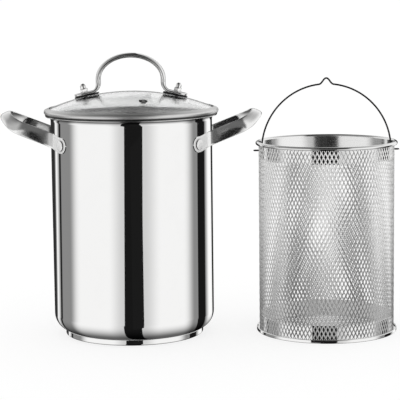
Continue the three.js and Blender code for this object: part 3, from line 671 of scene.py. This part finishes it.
# Lid handle: a round steel bar, flattened and bent to an arch, whose ends are pressed into flat round-ended
# feet. Polished all over, with lines along the bar.
ARCH_HEIGHT = 38
ARCH_SPAN = 32.1
ARCH_RISE = 23.6
ARCH_BEND = 8
BAR_THICKNESS = 4.8
BAR_WIDTH = 12
FOOT_THICKNESS = 2.8
FOOT_WIDTH = 16
FOOT_REACH = 10
FOOT_DISTANCE = GLASS_RADIUS - 39.6
GASKET = 1
SQUARE_FOOT = 5
OVAL_BAR = 2.4
foot_bottom = SEAT_GAP + GASKET + SEAT_GAP
arch_top = glass_edge + GLASS_RISE + ARCH_HEIGHT
bar_steel = steel(
    "bar_steel",
    light=(0.84, 0.838, 0.833), dark=(0.78, 0.778, 0.772),
    smooth=0.015, rough=0.05, grain=(120, 1500, 120), bump=0.01,
)


def arch_stations():
    """Centre, direction, half width, half height and squareness of the bar, from a foot's tip to the top."""
    tilt = math.asin(FOOT_DISTANCE / dome_radius)
    inward = Vector((-math.cos(tilt), 0, math.sin(tilt)))
    normal = Vector((math.sin(tilt), 0, math.cos(tilt)))
    seat = Vector((FOOT_DISTANCE, 0, dome_height(FOOT_DISTANCE)))
    line = seat + normal * (foot_bottom + BAR_THICKNESS / 2)
    corner_z = line.z + (line.x - ARCH_SPAN) * math.tan(tilt)
    turn = math.pi / 2 - tilt
    tangent = ARCH_BEND * math.tan(turn / 2)
    centre = Vector((ARCH_SPAN + ARCH_BEND, 0, corner_z + tangent))
    bend_foot = centre - normal * ARCH_BEND
    shoulder = arch_top - BAR_THICKNESS / 2 - ARCH_RISE
    stations = []
    tip = line - inward * FOOT_REACH
    length = (bend_foot - tip).length
    half = FOOT_WIDTH / 2
    sunk = (BAR_THICKNESS - FOOT_THICKNESS) / 2
    rounded = 1 - np.cos(np.linspace(0.06, math.pi / 2, 12))
    for share in np.concatenate([rounded, np.linspace(1.15, length / half, 8)]):
        run = share * half
        wide = half * math.sqrt(max(1 - (1 - min(run / half, 1)) ** 2, 0))
        stations.append((tip + inward * run - normal * sunk, inward, wide, FOOT_THICKNESS / 2, SQUARE_FOOT))
    for share in np.linspace(0, 1, 17)[1:]:
        heading = -math.pi / 2 - tilt - turn * share
        out = Vector((math.cos(heading), 0, math.sin(heading)))
        blend = share * share * (3 - 2 * share)
        high = FOOT_THICKNESS / 2 + (BAR_THICKNESS - FOOT_THICKNESS) / 2 * blend
        wide = half + (BAR_WIDTH - FOOT_WIDTH) / 2 * blend
        sunk = BAR_THICKNESS / 2 - high
        along = Vector((out.z, 0, -out.x))
        square = SQUARE_FOOT - (SQUARE_FOOT - OVAL_BAR) * blend
        stations.append((centre + out * (ARCH_BEND + sunk), along, wide, high, square))
    bar = (BAR_WIDTH / 2, BAR_THICKNESS / 2, OVAL_BAR)
    for z in np.linspace(centre.z, shoulder, 6)[1:]:
        stations.append((Vector((ARCH_SPAN, 0, z)), Vector((0, 0, 1)), *bar))
    for turn in np.linspace(0, math.pi / 2, 33)[1:]:
        at = Vector((ARCH_SPAN * math.cos(turn), 0, shoulder + ARCH_RISE * math.sin(turn)))
        along = Vector((-ARCH_SPAN * math.sin(turn), 0, ARCH_RISE * math.cos(turn))).normalized()
        stations.append((at, along, *bar))
    return stations


def swept(stations, sides=40):
    """Sections of an oval or squared bar along upright stations. The first half size lies along Y."""
    sections = []
    for centre, along, wide, high, square in stations:
        over = along.cross(Vector((0, 1, 0)))
        section = []
        for turn in np.arange(sides) * 2 * math.pi / sides:
            c, s = math.cos(turn), math.sin(turn)
            across = wide * math.copysign(abs(c) ** (2 / square), c)
            above = high * math.copysign(abs(s) ** (2 / square), s)
            section.append(centre + Vector((0, across, 0)) + over * above)
        sections.append(section)
    return sections


half_arch = arch_stations()
mirrored = [(Vector((-c.x, 0, c.z)), Vector((a.x, 0, -a.z)), w, h, q) for c, a, w, h, q in half_arch[-2::-1]]
points, faces = lofted(swept(half_arch + mirrored))
arch = made_piece("lid_arch", points, faces, [bar_steel])
kept(arch, "lid", "satin_steel", "lid_handle")

# Gaskets and fasteners of each foot: a black silicone pad on the glass, a screw from below with a washer, and
# a polished domed nut on top of the foot.
GASKET_MARGIN = 0.8
GASKET_CORNER = 1.5
FOOT_INNER = 13
BOLT_SHANK = 1.95
BOLT_HEAD = 4
BOLT_HEAD_HEIGHT = 2.4
BOLT_HEAD_ROUND = 1.2
BOLT_IN_NUT = 5.5
DRIVE_DEPTH = 0.9
DRIVE_BOTTOM = 1.2
DRIVE_TOP = 1.4
WASHER_RADIUS = 6
WASHER_THICKNESS = 1.2
WASHER_ROUND = 0.3
NUT_ACROSS = 7.6
NUT_HEX = 3.3
NUT_CAP_RADIUS = 2.85
NUT_CAP = 5.2
CAP_FLARE = 0.35
CAP_ROOT = 1
silicone, tree = blank_material("silicone_pad")
tint, _ = marked_tint(tree, (0.016, 0.016, 0.017), (0.035, 0.034, 0.033), 220, 0.7)
place = add(tree, "ShaderNodeTexCoord").outputs["Object"]
pebble = add(tree, "ShaderNodeTexNoise", {"Vector": place, "Scale": 2500.0, "Detail": 2.0})
relief = add(tree, "ShaderNodeBump", {"Height": pebble.outputs["Fac"], "Strength": 0.15, "Distance": 0.0001})
finish = {"Base Color": tint, "Roughness": 0.62, "Normal": relief.outputs["Normal"]}
surfaced(tree, "ShaderNodeBsdfPrincipled", finish)


def pad_outline(half, inner, outer):
    """Plan of a pad with one half-round end, toward +X."""
    back = bend((GASKET_CORNER - inner, half - GASKET_CORNER), GASKET_CORNER, 90, 180, 5)
    return bend((outer - half, 0), half, -90, 90, 24) + back + [(x, -y) for x, y in back[::-1]]


def pad(half, inner, outer, bottom, thickness, bevel=0.25):
    """Sections of a pad with softened edges, from its underside to its top."""
    sections = []
    for inset, height in ((bevel, 0), (0, bevel), (0, thickness - bevel), (bevel, thickness)):
        plan = pad_outline(half - inset, inner - inset, outer - inset)
        sections.append([Vector((x, y, bottom + height)) for x, y in plan])
    return sections


foot_top = foot_bottom + FOOT_THICKNESS
nut_bottom = foot_top + SEAT_GAP
washer_top = -GLASS - SEAT_GAP
head_top = washer_top - WASHER_THICKNESS - SEAT_GAP
head_bottom = head_top - BOLT_HEAD_HEIGHT
thread_top = nut_bottom + BOLT_IN_NUT
washer_edge = WASHER_RADIUS - WASHER_ROUND
washer = [(BOLT_SHANK + SEAT_GAP, washer_top), (BOLT_SHANK + SEAT_GAP, washer_top - WASHER_THICKNESS)]
washer += bend((washer_edge, washer_top - WASHER_THICKNESS + WASHER_ROUND), WASHER_ROUND, -90, 0, 4)
washer += bend((washer_edge, washer_top - WASHER_ROUND), WASHER_ROUND, 0, 90, 4)
drive = head_bottom + DRIVE_DEPTH
bolt = [(0, drive), (DRIVE_BOTTOM, drive), (DRIVE_TOP, head_bottom)]
bolt += bend((BOLT_HEAD - BOLT_HEAD_ROUND, head_bottom + BOLT_HEAD_ROUND), BOLT_HEAD_ROUND, -90, 0, 8)
bolt += [(BOLT_HEAD, head_top), (BOLT_SHANK, head_top), (BOLT_SHANK, thread_top), (0, thread_top)]
nut_top = nut_bottom + NUT_HEX + NUT_CAP
cap_foot = NUT_CAP_RADIUS + CAP_FLARE
cap_dome = [(0, nut_bottom + CAP_ROOT), (cap_foot, nut_bottom + CAP_ROOT)]
cap_dome += [(cap_foot, nut_bottom + NUT_HEX - 0.1), (NUT_CAP_RADIUS, nut_bottom + NUT_HEX + 0.3)]
cap_dome += bend((0, nut_top - NUT_CAP_RADIUS), NUT_CAP_RADIUS, 0, 90, 14)
cap_dome[-1] = (0, nut_top)


def hex_sections():
    """Sections of the nut's hexagon, whose corners are chamfered top and bottom as on a turned nut."""
    apothem = NUT_ACROSS / 2
    hex_radius = NUT_ACROSS / math.sqrt(3)
    levels = ((0, apothem - 0.1), (0.45, hex_radius), (NUT_HEX - 0.5, hex_radius), (NUT_HEX, apothem - 0.2))
    sections = []
    for height, limit in levels:
        section = []
        for step in range(SMALL_ROUND):
            turn = step * 2 * math.pi / SMALL_ROUND
            flat = apothem / math.cos((turn + math.pi / 6) % (math.pi / 3) - math.pi / 6)
            reach = min(flat, limit)
            section.append(Vector((reach * math.cos(turn), reach * math.sin(turn), nut_bottom + height)))
        sections.append(section)
    return sections


for side, angle in (("right", 0), ("left", math.pi)):
    place = dome_place(FOOT_DISTANCE, angle)
    shape = (FOOT_WIDTH / 2 + GASKET_MARGIN, FOOT_INNER + GASKET_MARGIN, FOOT_REACH + GASKET_MARGIN)
    points, faces = lofted(pad(*shape, SEAT_GAP, GASKET))
    gasket = made_piece(f"{side}_pad", moved(points, place), faces, [silicone])
    kept(gasket, "lid", "silicone", f"{side}_foot_gasket")
    points, faces, _ = turned(washer, SMALL_ROUND, place)
    kept(made_piece(f"{side}_washer", points, faces, [tab_steel]), "lid", "satin_steel", f"{side}_lid_washer")
    points, faces, _ = turned(bolt, SMALL_ROUND, place)
    kept(made_piece(f"{side}_screw", points, faces, [bar_steel]), "lid", "satin_steel", f"{side}_lid_bolt")
    points, faces = lofted(hex_sections())
    cap_points, cap_faces, _ = turned(cap_dome, SMALL_ROUND)
    faces += [tuple(i + len(points) for i in face) for face in cap_faces]
    points = moved(np.concatenate([points, cap_points]), place)
    nut = made_piece(f"{side}_nut", points, faces, [mirror_steel], sharp=25)
    kept(nut, "lid", "polished_steel", f"{side}_domed_nut")

# Basket bands: two bands of polished stainless sheet inside the mesh, which they hold by its edges. The top one
# is rolled outward over the mesh, and the bottom one is hemmed outward under it.
BASKET_X = 193.5
MESH_RADIUS = 67.2
MESH_SHEET = 0.4
BAND_SHEET = 0.6
BASKET_HEIGHT = 191
RIM_BAND = 17
CURL_RADIUS = 70.5
CURL_HEIGHT = 3.8
BASE_BAND = 17
HEM_RADIUS = 70.1
HEM_HEIGHT = 3.7
HEM_BEND = 1
FLOOR_LIP = 2.5
band_outer = MESH_RADIUS - MESH_SHEET - SEAT_GAP
band_inner = band_outer - BAND_SHEET
to_basket = Matrix.Translation((BASKET_X, 0, 0))
band_steel = steel(
    "band_steel",
    light=(0.88, 0.878, 0.873), dark=(0.83, 0.828, 0.822),
    smooth=0.03, rough=0.09, grain=(30, 30, 2000), bump=0.03,
)
band_lining = steel(
    "band_lining",
    light=(0.86, 0.858, 0.853), dark=(0.8, 0.798, 0.792),
    smooth=0.13, rough=0.22, grain=(30, 30, 2000), bump=0.03,
)
band_inside = steel(
    "band_inside",
    light=(0.8, 0.798, 0.793), dark=(0.72, 0.718, 0.712),
    smooth=0.5, rough=0.62, grain=(30, 30, 2000), bump=0.05,
)
curl = ((band_inner + CURL_RADIUS) / 2, BASKET_HEIGHT - CURL_HEIGHT / 2)
curl_half = (CURL_RADIUS - band_inner) / 2
rim_band = [(band_outer, BASKET_HEIGHT - RIM_BAND), (band_inner, BASKET_HEIGHT - RIM_BAND)]
rim_band += arc(curl, curl_half, CURL_HEIGHT / 2, 180, -50, 28)
rim_band += arc(curl, curl_half - BAND_SHEET, CURL_HEIGHT / 2 - BAND_SHEET, -50, 180, 28)
points, faces, steps = turned(rim_band, place=to_basket)
slots = [int(step == 1) for step in steps]
band = made_piece("basket_top_band", points, faces, [band_steel, band_lining], slots=slots)
kept(band, "basket", "polished_steel", "basket_rim_band", mirrored=False)

hem = (HEM_RADIUS - HEM_BEND, HEM_BEND)
inner_bend = HEM_BEND - BAND_SHEET
base_band = [(band_inner - FLOOR_LIP, 0)]
base_band += bend(hem, HEM_BEND, -90, 0, 8)
base_band += bend((HEM_RADIUS - BAND_SHEET, HEM_HEIGHT - BAND_SHEET), BAND_SHEET, 0, 110, 6)
base_band += [(HEM_RADIUS - BAND_SHEET - 0.5, HEM_HEIGHT - 0.3), (HEM_RADIUS - BAND_SHEET, HEM_HEIGHT - 1)]
base_band += bend(hem, inner_bend, 0, -90, 4)
base_band += [(band_outer + inner_bend, BAND_SHEET)]
base_band += bend((band_outer + inner_bend, BAND_SHEET + inner_bend), inner_bend, -90, -180, 4)
base_band += bend(((band_outer + band_inner) / 2, BASE_BAND - BAND_SHEET / 2), BAND_SHEET / 2, 0, 180, 6)
base_band += bend((band_inner - inner_bend, BAND_SHEET + inner_bend), inner_bend, 0, -90, 4)
base_band += [(band_inner - FLOOR_LIP, BAND_SHEET)]
points, faces, steps = turned(base_band, place=to_basket)
reaches = [max(start[0], stop[0]) for start, stop in zip(base_band, base_band[1:] + base_band[:1])]
slots = [int(reaches[step] < band_inner + 0.01) for step in steps]
band = made_piece("basket_hem_band", points, faces, [band_steel, band_inside], slots=slots)
kept(band, "basket", "polished_steel", "basket_base_band", mirrored=False)

# Mesh wall: one strip of expanded stainless steel, slit and drawn into staggered diamonds, rolled to a tube. It
# is tucked in between the bands and their rolled edges, at a height where the bail's ends pass its openings.
# The strands are ridged and thin beside the holes, so they catch the light, and their tint is darker low down:
# painted shade toward the floor.
CELLS_ROUND = 106
CELLS_HIGH = 23
HOLE_WIDTH = 0.65
HOLE_HEIGHT = 0.68
STRAND_RELIEF = 0.16
RIDGE_OUT = 0.36
RIDGE_IN = 0.26
STRAND_EDGE = 0.06
MESH_TUCK = 0.4
# Share of the tint left at the foot, and the heights over which the painted shade fades out.
FOOT_SHADE_SHARE = 0.56
SHADE_HEIGHTS = (0.01, 0.13)
strand_steel = steel(
    "strand_steel",
    light=(0.88, 0.878, 0.872), dark=(0.72, 0.718, 0.712),
    smooth=0.28, rough=0.4, grain=(700, 700, 700), bump=0.1,
    marks=(300.0, 0.8), metal=0.85, foot=(FOOT_SHADE_SHARE, *SHADE_HEIGHTS),
)


def diamond_net(columns, rows, wraps):
    """Lattice points of staggered diamonds as (across, up), and the four corners of each diamond."""
    spots, cells = {}, []
    width = 2 * columns

    def spot(i, j):
        i = i % width if wraps else i
        return spots.setdefault((i, j), len(spots))

    for row in range(1, 2 * rows):
        for column in range(row % 2, width if wraps else width - 1, 2):
            if not wraps and column == 0:
                continue
            corners = ((column + 1, row), (column, row + 1), (column - 1, row), (column, row - 1))
            cells.append(tuple(spot(*corner) for corner in corners))
    return spots, cells


def diamond_mesh(spots, cells, shape):
    """Points and faces of the drawn sheet. Each diamond is a frame, joined to its neighbours along its edge.

    The strands are ridged: highest along their middle and thin beside the holes.
    """
    keys = list(spots)
    flat = [shape(i, j) for i, j in keys]
    points = [tuple(at(depth)) for depth in (RIDGE_OUT, -RIDGE_IN) for at in flat]
    front, back = ([at(depth) for at in flat] for depth in (STRAND_EDGE, -STRAND_EDGE))
    behind = len(keys)
    faces = []
    edges = {}
    for cell in cells:
        start = len(points)
        for layer in (front, back):
            corners = [Vector(layer[k]) for k in cell]
            middle = sum(corners, Vector()) / 4
            for k, corner in enumerate(corners):
                opening = HOLE_HEIGHT if k % 2 else HOLE_WIDTH
                points.append(tuple(middle + (corner - middle) * opening))
        for k in range(4):
            m = (k + 1) % 4
            a, b = cell[k], cell[m]
            faces.append((a, b, start + m, start + k))
            faces.append((b + behind, a + behind, start + 4 + k, start + 4 + m))
            faces.append((start + k, start + m, start + 4 + m, start + 4 + k))
            edges[(a, b)] = edges.get((a, b), 0) + 1
    for a, b in edges:
        if (b, a) not in edges:
            faces.append((b, a, a + behind, b + behind))
    return points, faces


mesh_low = BAND_SHEET + SEAT_GAP
mesh_high = curl[1] + MESH_TUCK
row_height = (mesh_high - mesh_low) / (2 * CELLS_HIGH)
mesh_middle = MESH_RADIUS - MESH_SHEET / 2


def on_wall_net(i, j):
    """Where a lattice point of the wall lies, for each depth from the sheet's middle."""
    turn = i * math.pi / CELLS_ROUND
    relief = STRAND_RELIEF * (1 if j % 2 else -1) * 0.5
    out = Vector((math.cos(turn), math.sin(turn), 0))
    at = Vector((BASKET_X, 0, mesh_low + j * row_height)) + out * (mesh_middle + relief)
    return lambda depth: at + out * depth


spots, cells = diamond_net(CELLS_ROUND, CELLS_HIGH, True)
points, faces = diamond_mesh(spots, cells, on_wall_net)
wall = made_piece("basket_mesh_tube", points, faces, [strand_steel], sharp=30)
kept(wall, "basket", "mesh_steel", "basket_mesh_wall", mirrored=False)

# Mesh floor: a disc of the same expanded steel, cut round and laid on the lip of the base band, with its net at
# the same size as the wall's. Diamonds that the cut runs through are drawn in to the edge.
FLOOR_TRIM = 1.5
floor_radius = band_inner - SEAT_GAP
floor_middle = BAND_SHEET + SEAT_GAP + MESH_SHEET / 2
cell_width = 2 * math.pi * mesh_middle / CELLS_ROUND
columns = 2 * math.ceil(floor_radius / cell_width)
rows = math.ceil(floor_radius / row_height)


def floor_spot(i, j):
    """A lattice point of the floor, from the basket's axis."""
    return (i - columns) * cell_width / 2, (j - rows) * row_height


def on_floor_net(i, j):
    """Where a lattice point of the floor lies, for each depth. Points past the edge are drawn in to it."""
    at = Vector((*floor_spot(i, j), 0))
    if at.length > floor_radius:
        at = at.normalized() * floor_radius
    at = at + Vector((BASKET_X, 0, floor_middle))
    return lambda depth: at + Vector((0, 0, depth))


spots, cells = diamond_net(columns, rows, False)
keys = list(spots)
reach = floor_radius + FLOOR_TRIM
inside = [cell for cell in cells if all(math.hypot(*floor_spot(*keys[k])) < reach for k in cell)]
used = sorted({k for cell in inside for k in cell})
renamed = {k: n for n, k in enumerate(used)}
spots = {keys[k]: renamed[k] for k in used}
cells = [tuple(renamed[k] for k in cell) for cell in inside]
points, faces = diamond_mesh(spots, cells, on_floor_net)
mesh_floor = made_piece("basket_mesh_disc", points, faces, [strand_steel], sharp=40)
kept(mesh_floor, "basket", "mesh_steel", "basket_mesh_floor", mirrored=False)

# Bail: one length of spring wire, given a near-black tint, bent to a half hoop with a peak for a hook. Its ends
# turn out through holes in the top band and openings of the mesh, so it swings.
BAIL_WIRE = 0.85
BAIL_TIP = 0.6
BAIL_CLEARANCE = 0.75
BAIL_PIVOT = BASKET_HEIGHT - 9.2
BAIL_ELBOW = 2
STUB_REACH = CURL_RADIUS + 2.1
BAIL_STRETCH = 1.2
PEAK_RISE = 5.7
PEAK_HALF_WIDTH = 8
PEAK_TIP = 3.2
wire_steel = steel(
    "wire_steel",
    light=(0.035, 0.035, 0.036), dark=(0.015, 0.015, 0.015),
    smooth=0.3, rough=0.45, grain=(500, 500, 500), bump=0.1,
)


def bail_line():
    """Centre line of half the bail, from its turned-out end to the peak, in the basket's own place."""
    radius = band_inner - BAIL_CLEARANCE - BAIL_WIRE
    tall = radius + BAIL_STRETCH
    start = math.asin(BAIL_ELBOW / tall)
    shoulder = math.acos(PEAK_HALF_WIDTH / radius)
    elbow = radius + BAIL_ELBOW
    line = [(x, 0) for x in np.linspace(STUB_REACH, elbow, 6)]
    line += bend((elbow, BAIL_ELBOW), BAIL_ELBOW, 270, 180, 10)[1:]
    line += arc((0, 0), radius, tall, math.degrees(start), math.degrees(shoulder), 60)[1:]
    low = line[-1][1]
    high = tall + PEAK_RISE
    for t in np.linspace(0, 1, 25)[1:]:
        left = 1 - t
        x = left**3 * PEAK_HALF_WIDTH + 3 * left**2 * t * PEAK_HALF_WIDTH / 2 + 3 * left * t * t * PEAK_TIP
        z = low + (high - low) * (3 * left * t * t + t**3)
        line.append((x, z))
    return line


half_line = bail_line()
line = [Vector((x, 0, z)) for x, z in half_line] + [Vector((-x, 0, z)) for x, z in half_line[-2::-1]]
stations = []
for i, spot in enumerate(line):
    along = (line[min(i + 1, len(line) - 1)] - line[max(i - 1, 0)]).normalized()
    half = BAIL_WIRE * (BAIL_TIP if i in (0, len(line) - 1) else 1)
    stations.append((spot + Vector((BASKET_X, 0, BAIL_PIVOT)), along, half, half, 2))
points, faces = lofted(swept(stations, 16))
bail = made_piece("bail", points, faces, [wire_steel])
kept(bail, "bail", "bail_steel", "bail_wire", mirrored=False)

# Floor: a wide pale sheet that the set stands on. It shows white, with the set's soft shadow, and it lies flat,
# far out past the view on every side.
FLOOR_REACH = 40
FLOOR_GLOW = 1.08
GLOW_SHARE = 0.7


def flat_sheet(name, corners, paint):
    """A flat sheet of the studio, from its four corners in metres."""
    mesh = bpy.data.meshes.new(name)
    mesh.from_pydata(corners, [], [(0, 1, 2, 3)])
    mesh.materials.append(paint)
    made = bpy.data.objects.new(name, mesh)
    bpy.context.scene.collection.objects.link(made)
    return made


floor_paint, tree = blank_material("floor_paint")
rays = add(tree, "ShaderNodeLightPath").outputs
seen = worked(tree, "MAXIMUM", rays["Is Camera Ray"], rays["Is Transmission Ray"])
seen = worked(tree, "MAXIMUM", seen, rays["Is Glossy Ray"])
share = worked(tree, "MULTIPLY", seen, GLOW_SHARE)
matte = add(tree, "ShaderNodeBsdfDiffuse", {"Color": (0.9, 0.9, 0.9, 1)})
shine = add(tree, "ShaderNodeEmission", {"Color": (1, 1, 1, 1), "Strength": FLOOR_GLOW})
surfaced(tree, "ShaderNodeMixShader", {0: share, 1: matte.outputs[0], 2: shine.outputs[0]})
floor_corners = [(x * FLOOR_REACH, y * FLOOR_REACH, 0) for x, y in ((-1, -1), (1, -1), (1, 1), (-1, 1))]
studio_floor = flat_sheet("studio_floor", floor_corners, floor_paint)
studio_floor.visible_glossy = False

# Dark card: a sheet of black cloth on a stand, before the basket and out of view. It shows only in reflections,
# where it darkens the middle of the basket's bands.
CARD_LEFT = (0.0, -0.37)
CARD_RIGHT = (0.135, -0.516)
CARD_LOW, CARD_HIGH = -0.2, 0.165
card_paint, tree = blank_material("card_paint")
surfaced(tree, "ShaderNodeEmission", {"Color": (0.012, 0.012, 0.012, 1), "Strength": 1.0})
card_corners = [(*CARD_LEFT, CARD_LOW), (*CARD_LEFT, CARD_HIGH)]
card_corners += [(*CARD_RIGHT, CARD_HIGH), (*CARD_RIGHT, CARD_LOW)]
dark_card = flat_sheet("dark_card", card_corners, card_paint)
for seen_by in ("camera", "diffuse", "transmission", "volume_scatter", "shadow"):
    setattr(dark_card, f"visible_{seen_by}", False)

# Studio: plain white light from all round, with tall soft boxes and dark flags that only polished steel and
# glass reflect. They stand in a wide bow round the set, and a white ceiling is above them.
HORIZON = -0.14
BOW_CENTRE = 0.975
LEAN = 31
LEAN_FROM, LEAN_TO = -0.11, 0.09
panel_sockets = {"Azimuth": 0.0, "From": 0.0, "To": 0.0, "Fade In": 5.0, "Fade Out": 5.0}
softbox, given, result = new_group(
    "softbox",
    [(label, "NodeSocketFloat", value) for label, value in panel_sockets.items()],
    [("Mask", "NodeSocketFloat")],
)
turn, start, stop, fade_in, fade_out = (given.outputs[label] for label in panel_sockets)
rising = ramp(softbox, turn, worked(softbox, "SUBTRACT", start, fade_in), start, soft=True)
falling = ramp(softbox, turn, stop, worked(softbox, "ADD", stop, fade_out), 1.0, 0.0, soft=True)
softbox.links.new(worked(softbox, "MULTIPLY", rising, falling), result.inputs["Mask"])

world = bpy.data.worlds.new("studio")
bpy.context.scene.world = world
world.use_nodes = True
tree = world.node_tree
tree.nodes.clear()
sky = add(tree, "ShaderNodeTexCoord")
parts = add(tree, "ShaderNodeSeparateXYZ", {0: sky.outputs["Generated"]}).outputs
height = worked(tree, "SUBTRACT", parts["Z"], HORIZON)
ahead = worked(tree, "SUBTRACT", BOW_CENTRE, parts["Y"])
bow = worked(tree, "ARCTAN2", parts["X"], ahead)
near = add(tree, "ShaderNodeClamp", {"Value": height, "Min": LEAN_FROM, "Max": LEAN_TO}).outputs[0]
azimuth = worked(tree, "MULTIPLY", bow, math.degrees(2))
azimuth = worked(tree, "SUBTRACT", azimuth, worked(tree, "MULTIPLY", near, LEAN))
across = worked(tree, "POWER", parts["X"], 2.0)
along = worked(tree, "POWER", ahead, 2.0)
span = worked(tree, "SQRT", worked(tree, "ADD", across, along))
tilt = worked(tree, "DEGREES", worked(tree, "ARCTAN2", height, span))


def boxed(start, stop, fade_in, fade_out):
    """The mask of a panel between two azimuths, with soft edges."""
    values = dict(zip(panel_sockets, (azimuth, start, stop, fade_in, fade_out)))
    return add(tree, "ShaderNodeGroup", values, node_tree=softbox).outputs["Mask"]


def lit(level, bright, mask):
    """The level, brought to another brightness by a mask."""
    levels = {"Factor": mask, "A": level, "B": bright}
    return add(tree, "ShaderNodeMix", levels, data_type="FLOAT").outputs["Result"]


# Each panel and flag: brightness, then its azimuths from the front, in degrees, and the width of its fades.
light = 0.27
for bright, *edges in (
    (0.68, -77, 78, 24, 24),
    (1.0, -77, -34, 24, 24),
    (1.0, 44, 78, 26, 24),
    (1.06, 144, 158, 15, 3),
    (1.0, -141, -139, 2, 12),
    (0.01, -9.6, 15.8, 0.4, 0.4),
    (0.01, 109.8, 128.3, 1, 3),
    (0.01, -127, -124, 3, 3),
    (0.02, 161, 190, 2, 1),
    (0.03, -190, -147, 1, 2),
):
    light = lit(light, bright, boxed(*edges))
# Toward the floor the panels get darker.
light = worked(tree, "MULTIPLY", light, ramp(tree, tilt, -55.0, -4.0, 0.12, soft=True))
# The ceiling over them: bright at both sides and behind, grey in front, and dimmer toward straight above.
ceiling = 0.14
for bright, *edges in (
    (0.5, -152, -35, 12, 22),
    (0.85, -152, -105, 12, 20),
    (0.95, 38, 152, 12, 22),
    (0.85, 152, 400, 12, 1),
    (0.85, -400, -152, 1, 12),
):
    ceiling = lit(ceiling, bright, boxed(*edges))
for high, low, share in ((0.9, 0.3, 0.4), (0.97, 0.86, 0.12)):
    ceiling = worked(tree, "MULTIPLY", ceiling, ramp(tree, parts["Z"], low, high, 1.0, share, soft=True))
# The ceiling begins higher up behind the set, where the panels are taller.
behind = ramp(tree, worked(tree, "ABSOLUTE", azimuth), 142.0, 160.0, 0.0, 0.2)
above = worked(tree, "SUBTRACT", parts["Z"], behind)
light = lit(light, ceiling, ramp(tree, above, -0.08, -0.04, soft=True))
# Matte surfaces get one even white light, and the camera sees a white backdrop, through the glass too.
rays = add(tree, "ShaderNodeLightPath").outputs
light = lit(0.95, light, rays["Is Glossy Ray"])
light = lit(light, 1.0, worked(tree, "MAXIMUM", rays["Is Camera Ray"], rays["Is Transmission Ray"]))
room = add(tree, "ShaderNodeBackground", {"Color": (1, 1, 1, 1), "Strength": light})
add(tree, "ShaderNodeOutputWorld", {"Surface": room.outputs[0]})
bpy.context.scene.view_settings.view_transform = "Standard"

# Camera: in front of the set and a little above it, at the photograph's angle, with a long lens that keeps the
# pot's sides almost upright.
CAMERA_PLACE = (0.0672, -1.6, 0.3483)
CAMERA_PITCH = 0.134
CAMERA_ROLL = 0.0112
CAMERA_LENS = 145.35
camera = bpy.data.objects.new("camera", bpy.data.cameras.new("camera"))
bpy.context.scene.collection.objects.link(camera)
camera.data.lens = CAMERA_LENS
camera.data.clip_end = 100
look = Matrix.Rotation(math.pi / 2 - CAMERA_PITCH, 4, "X") @ Matrix.Rotation(-CAMERA_ROLL, 4, "Z")
camera.matrix_world = Matrix.Translation(CAMERA_PLACE) @ look
bpy.context.scene.camera = camera
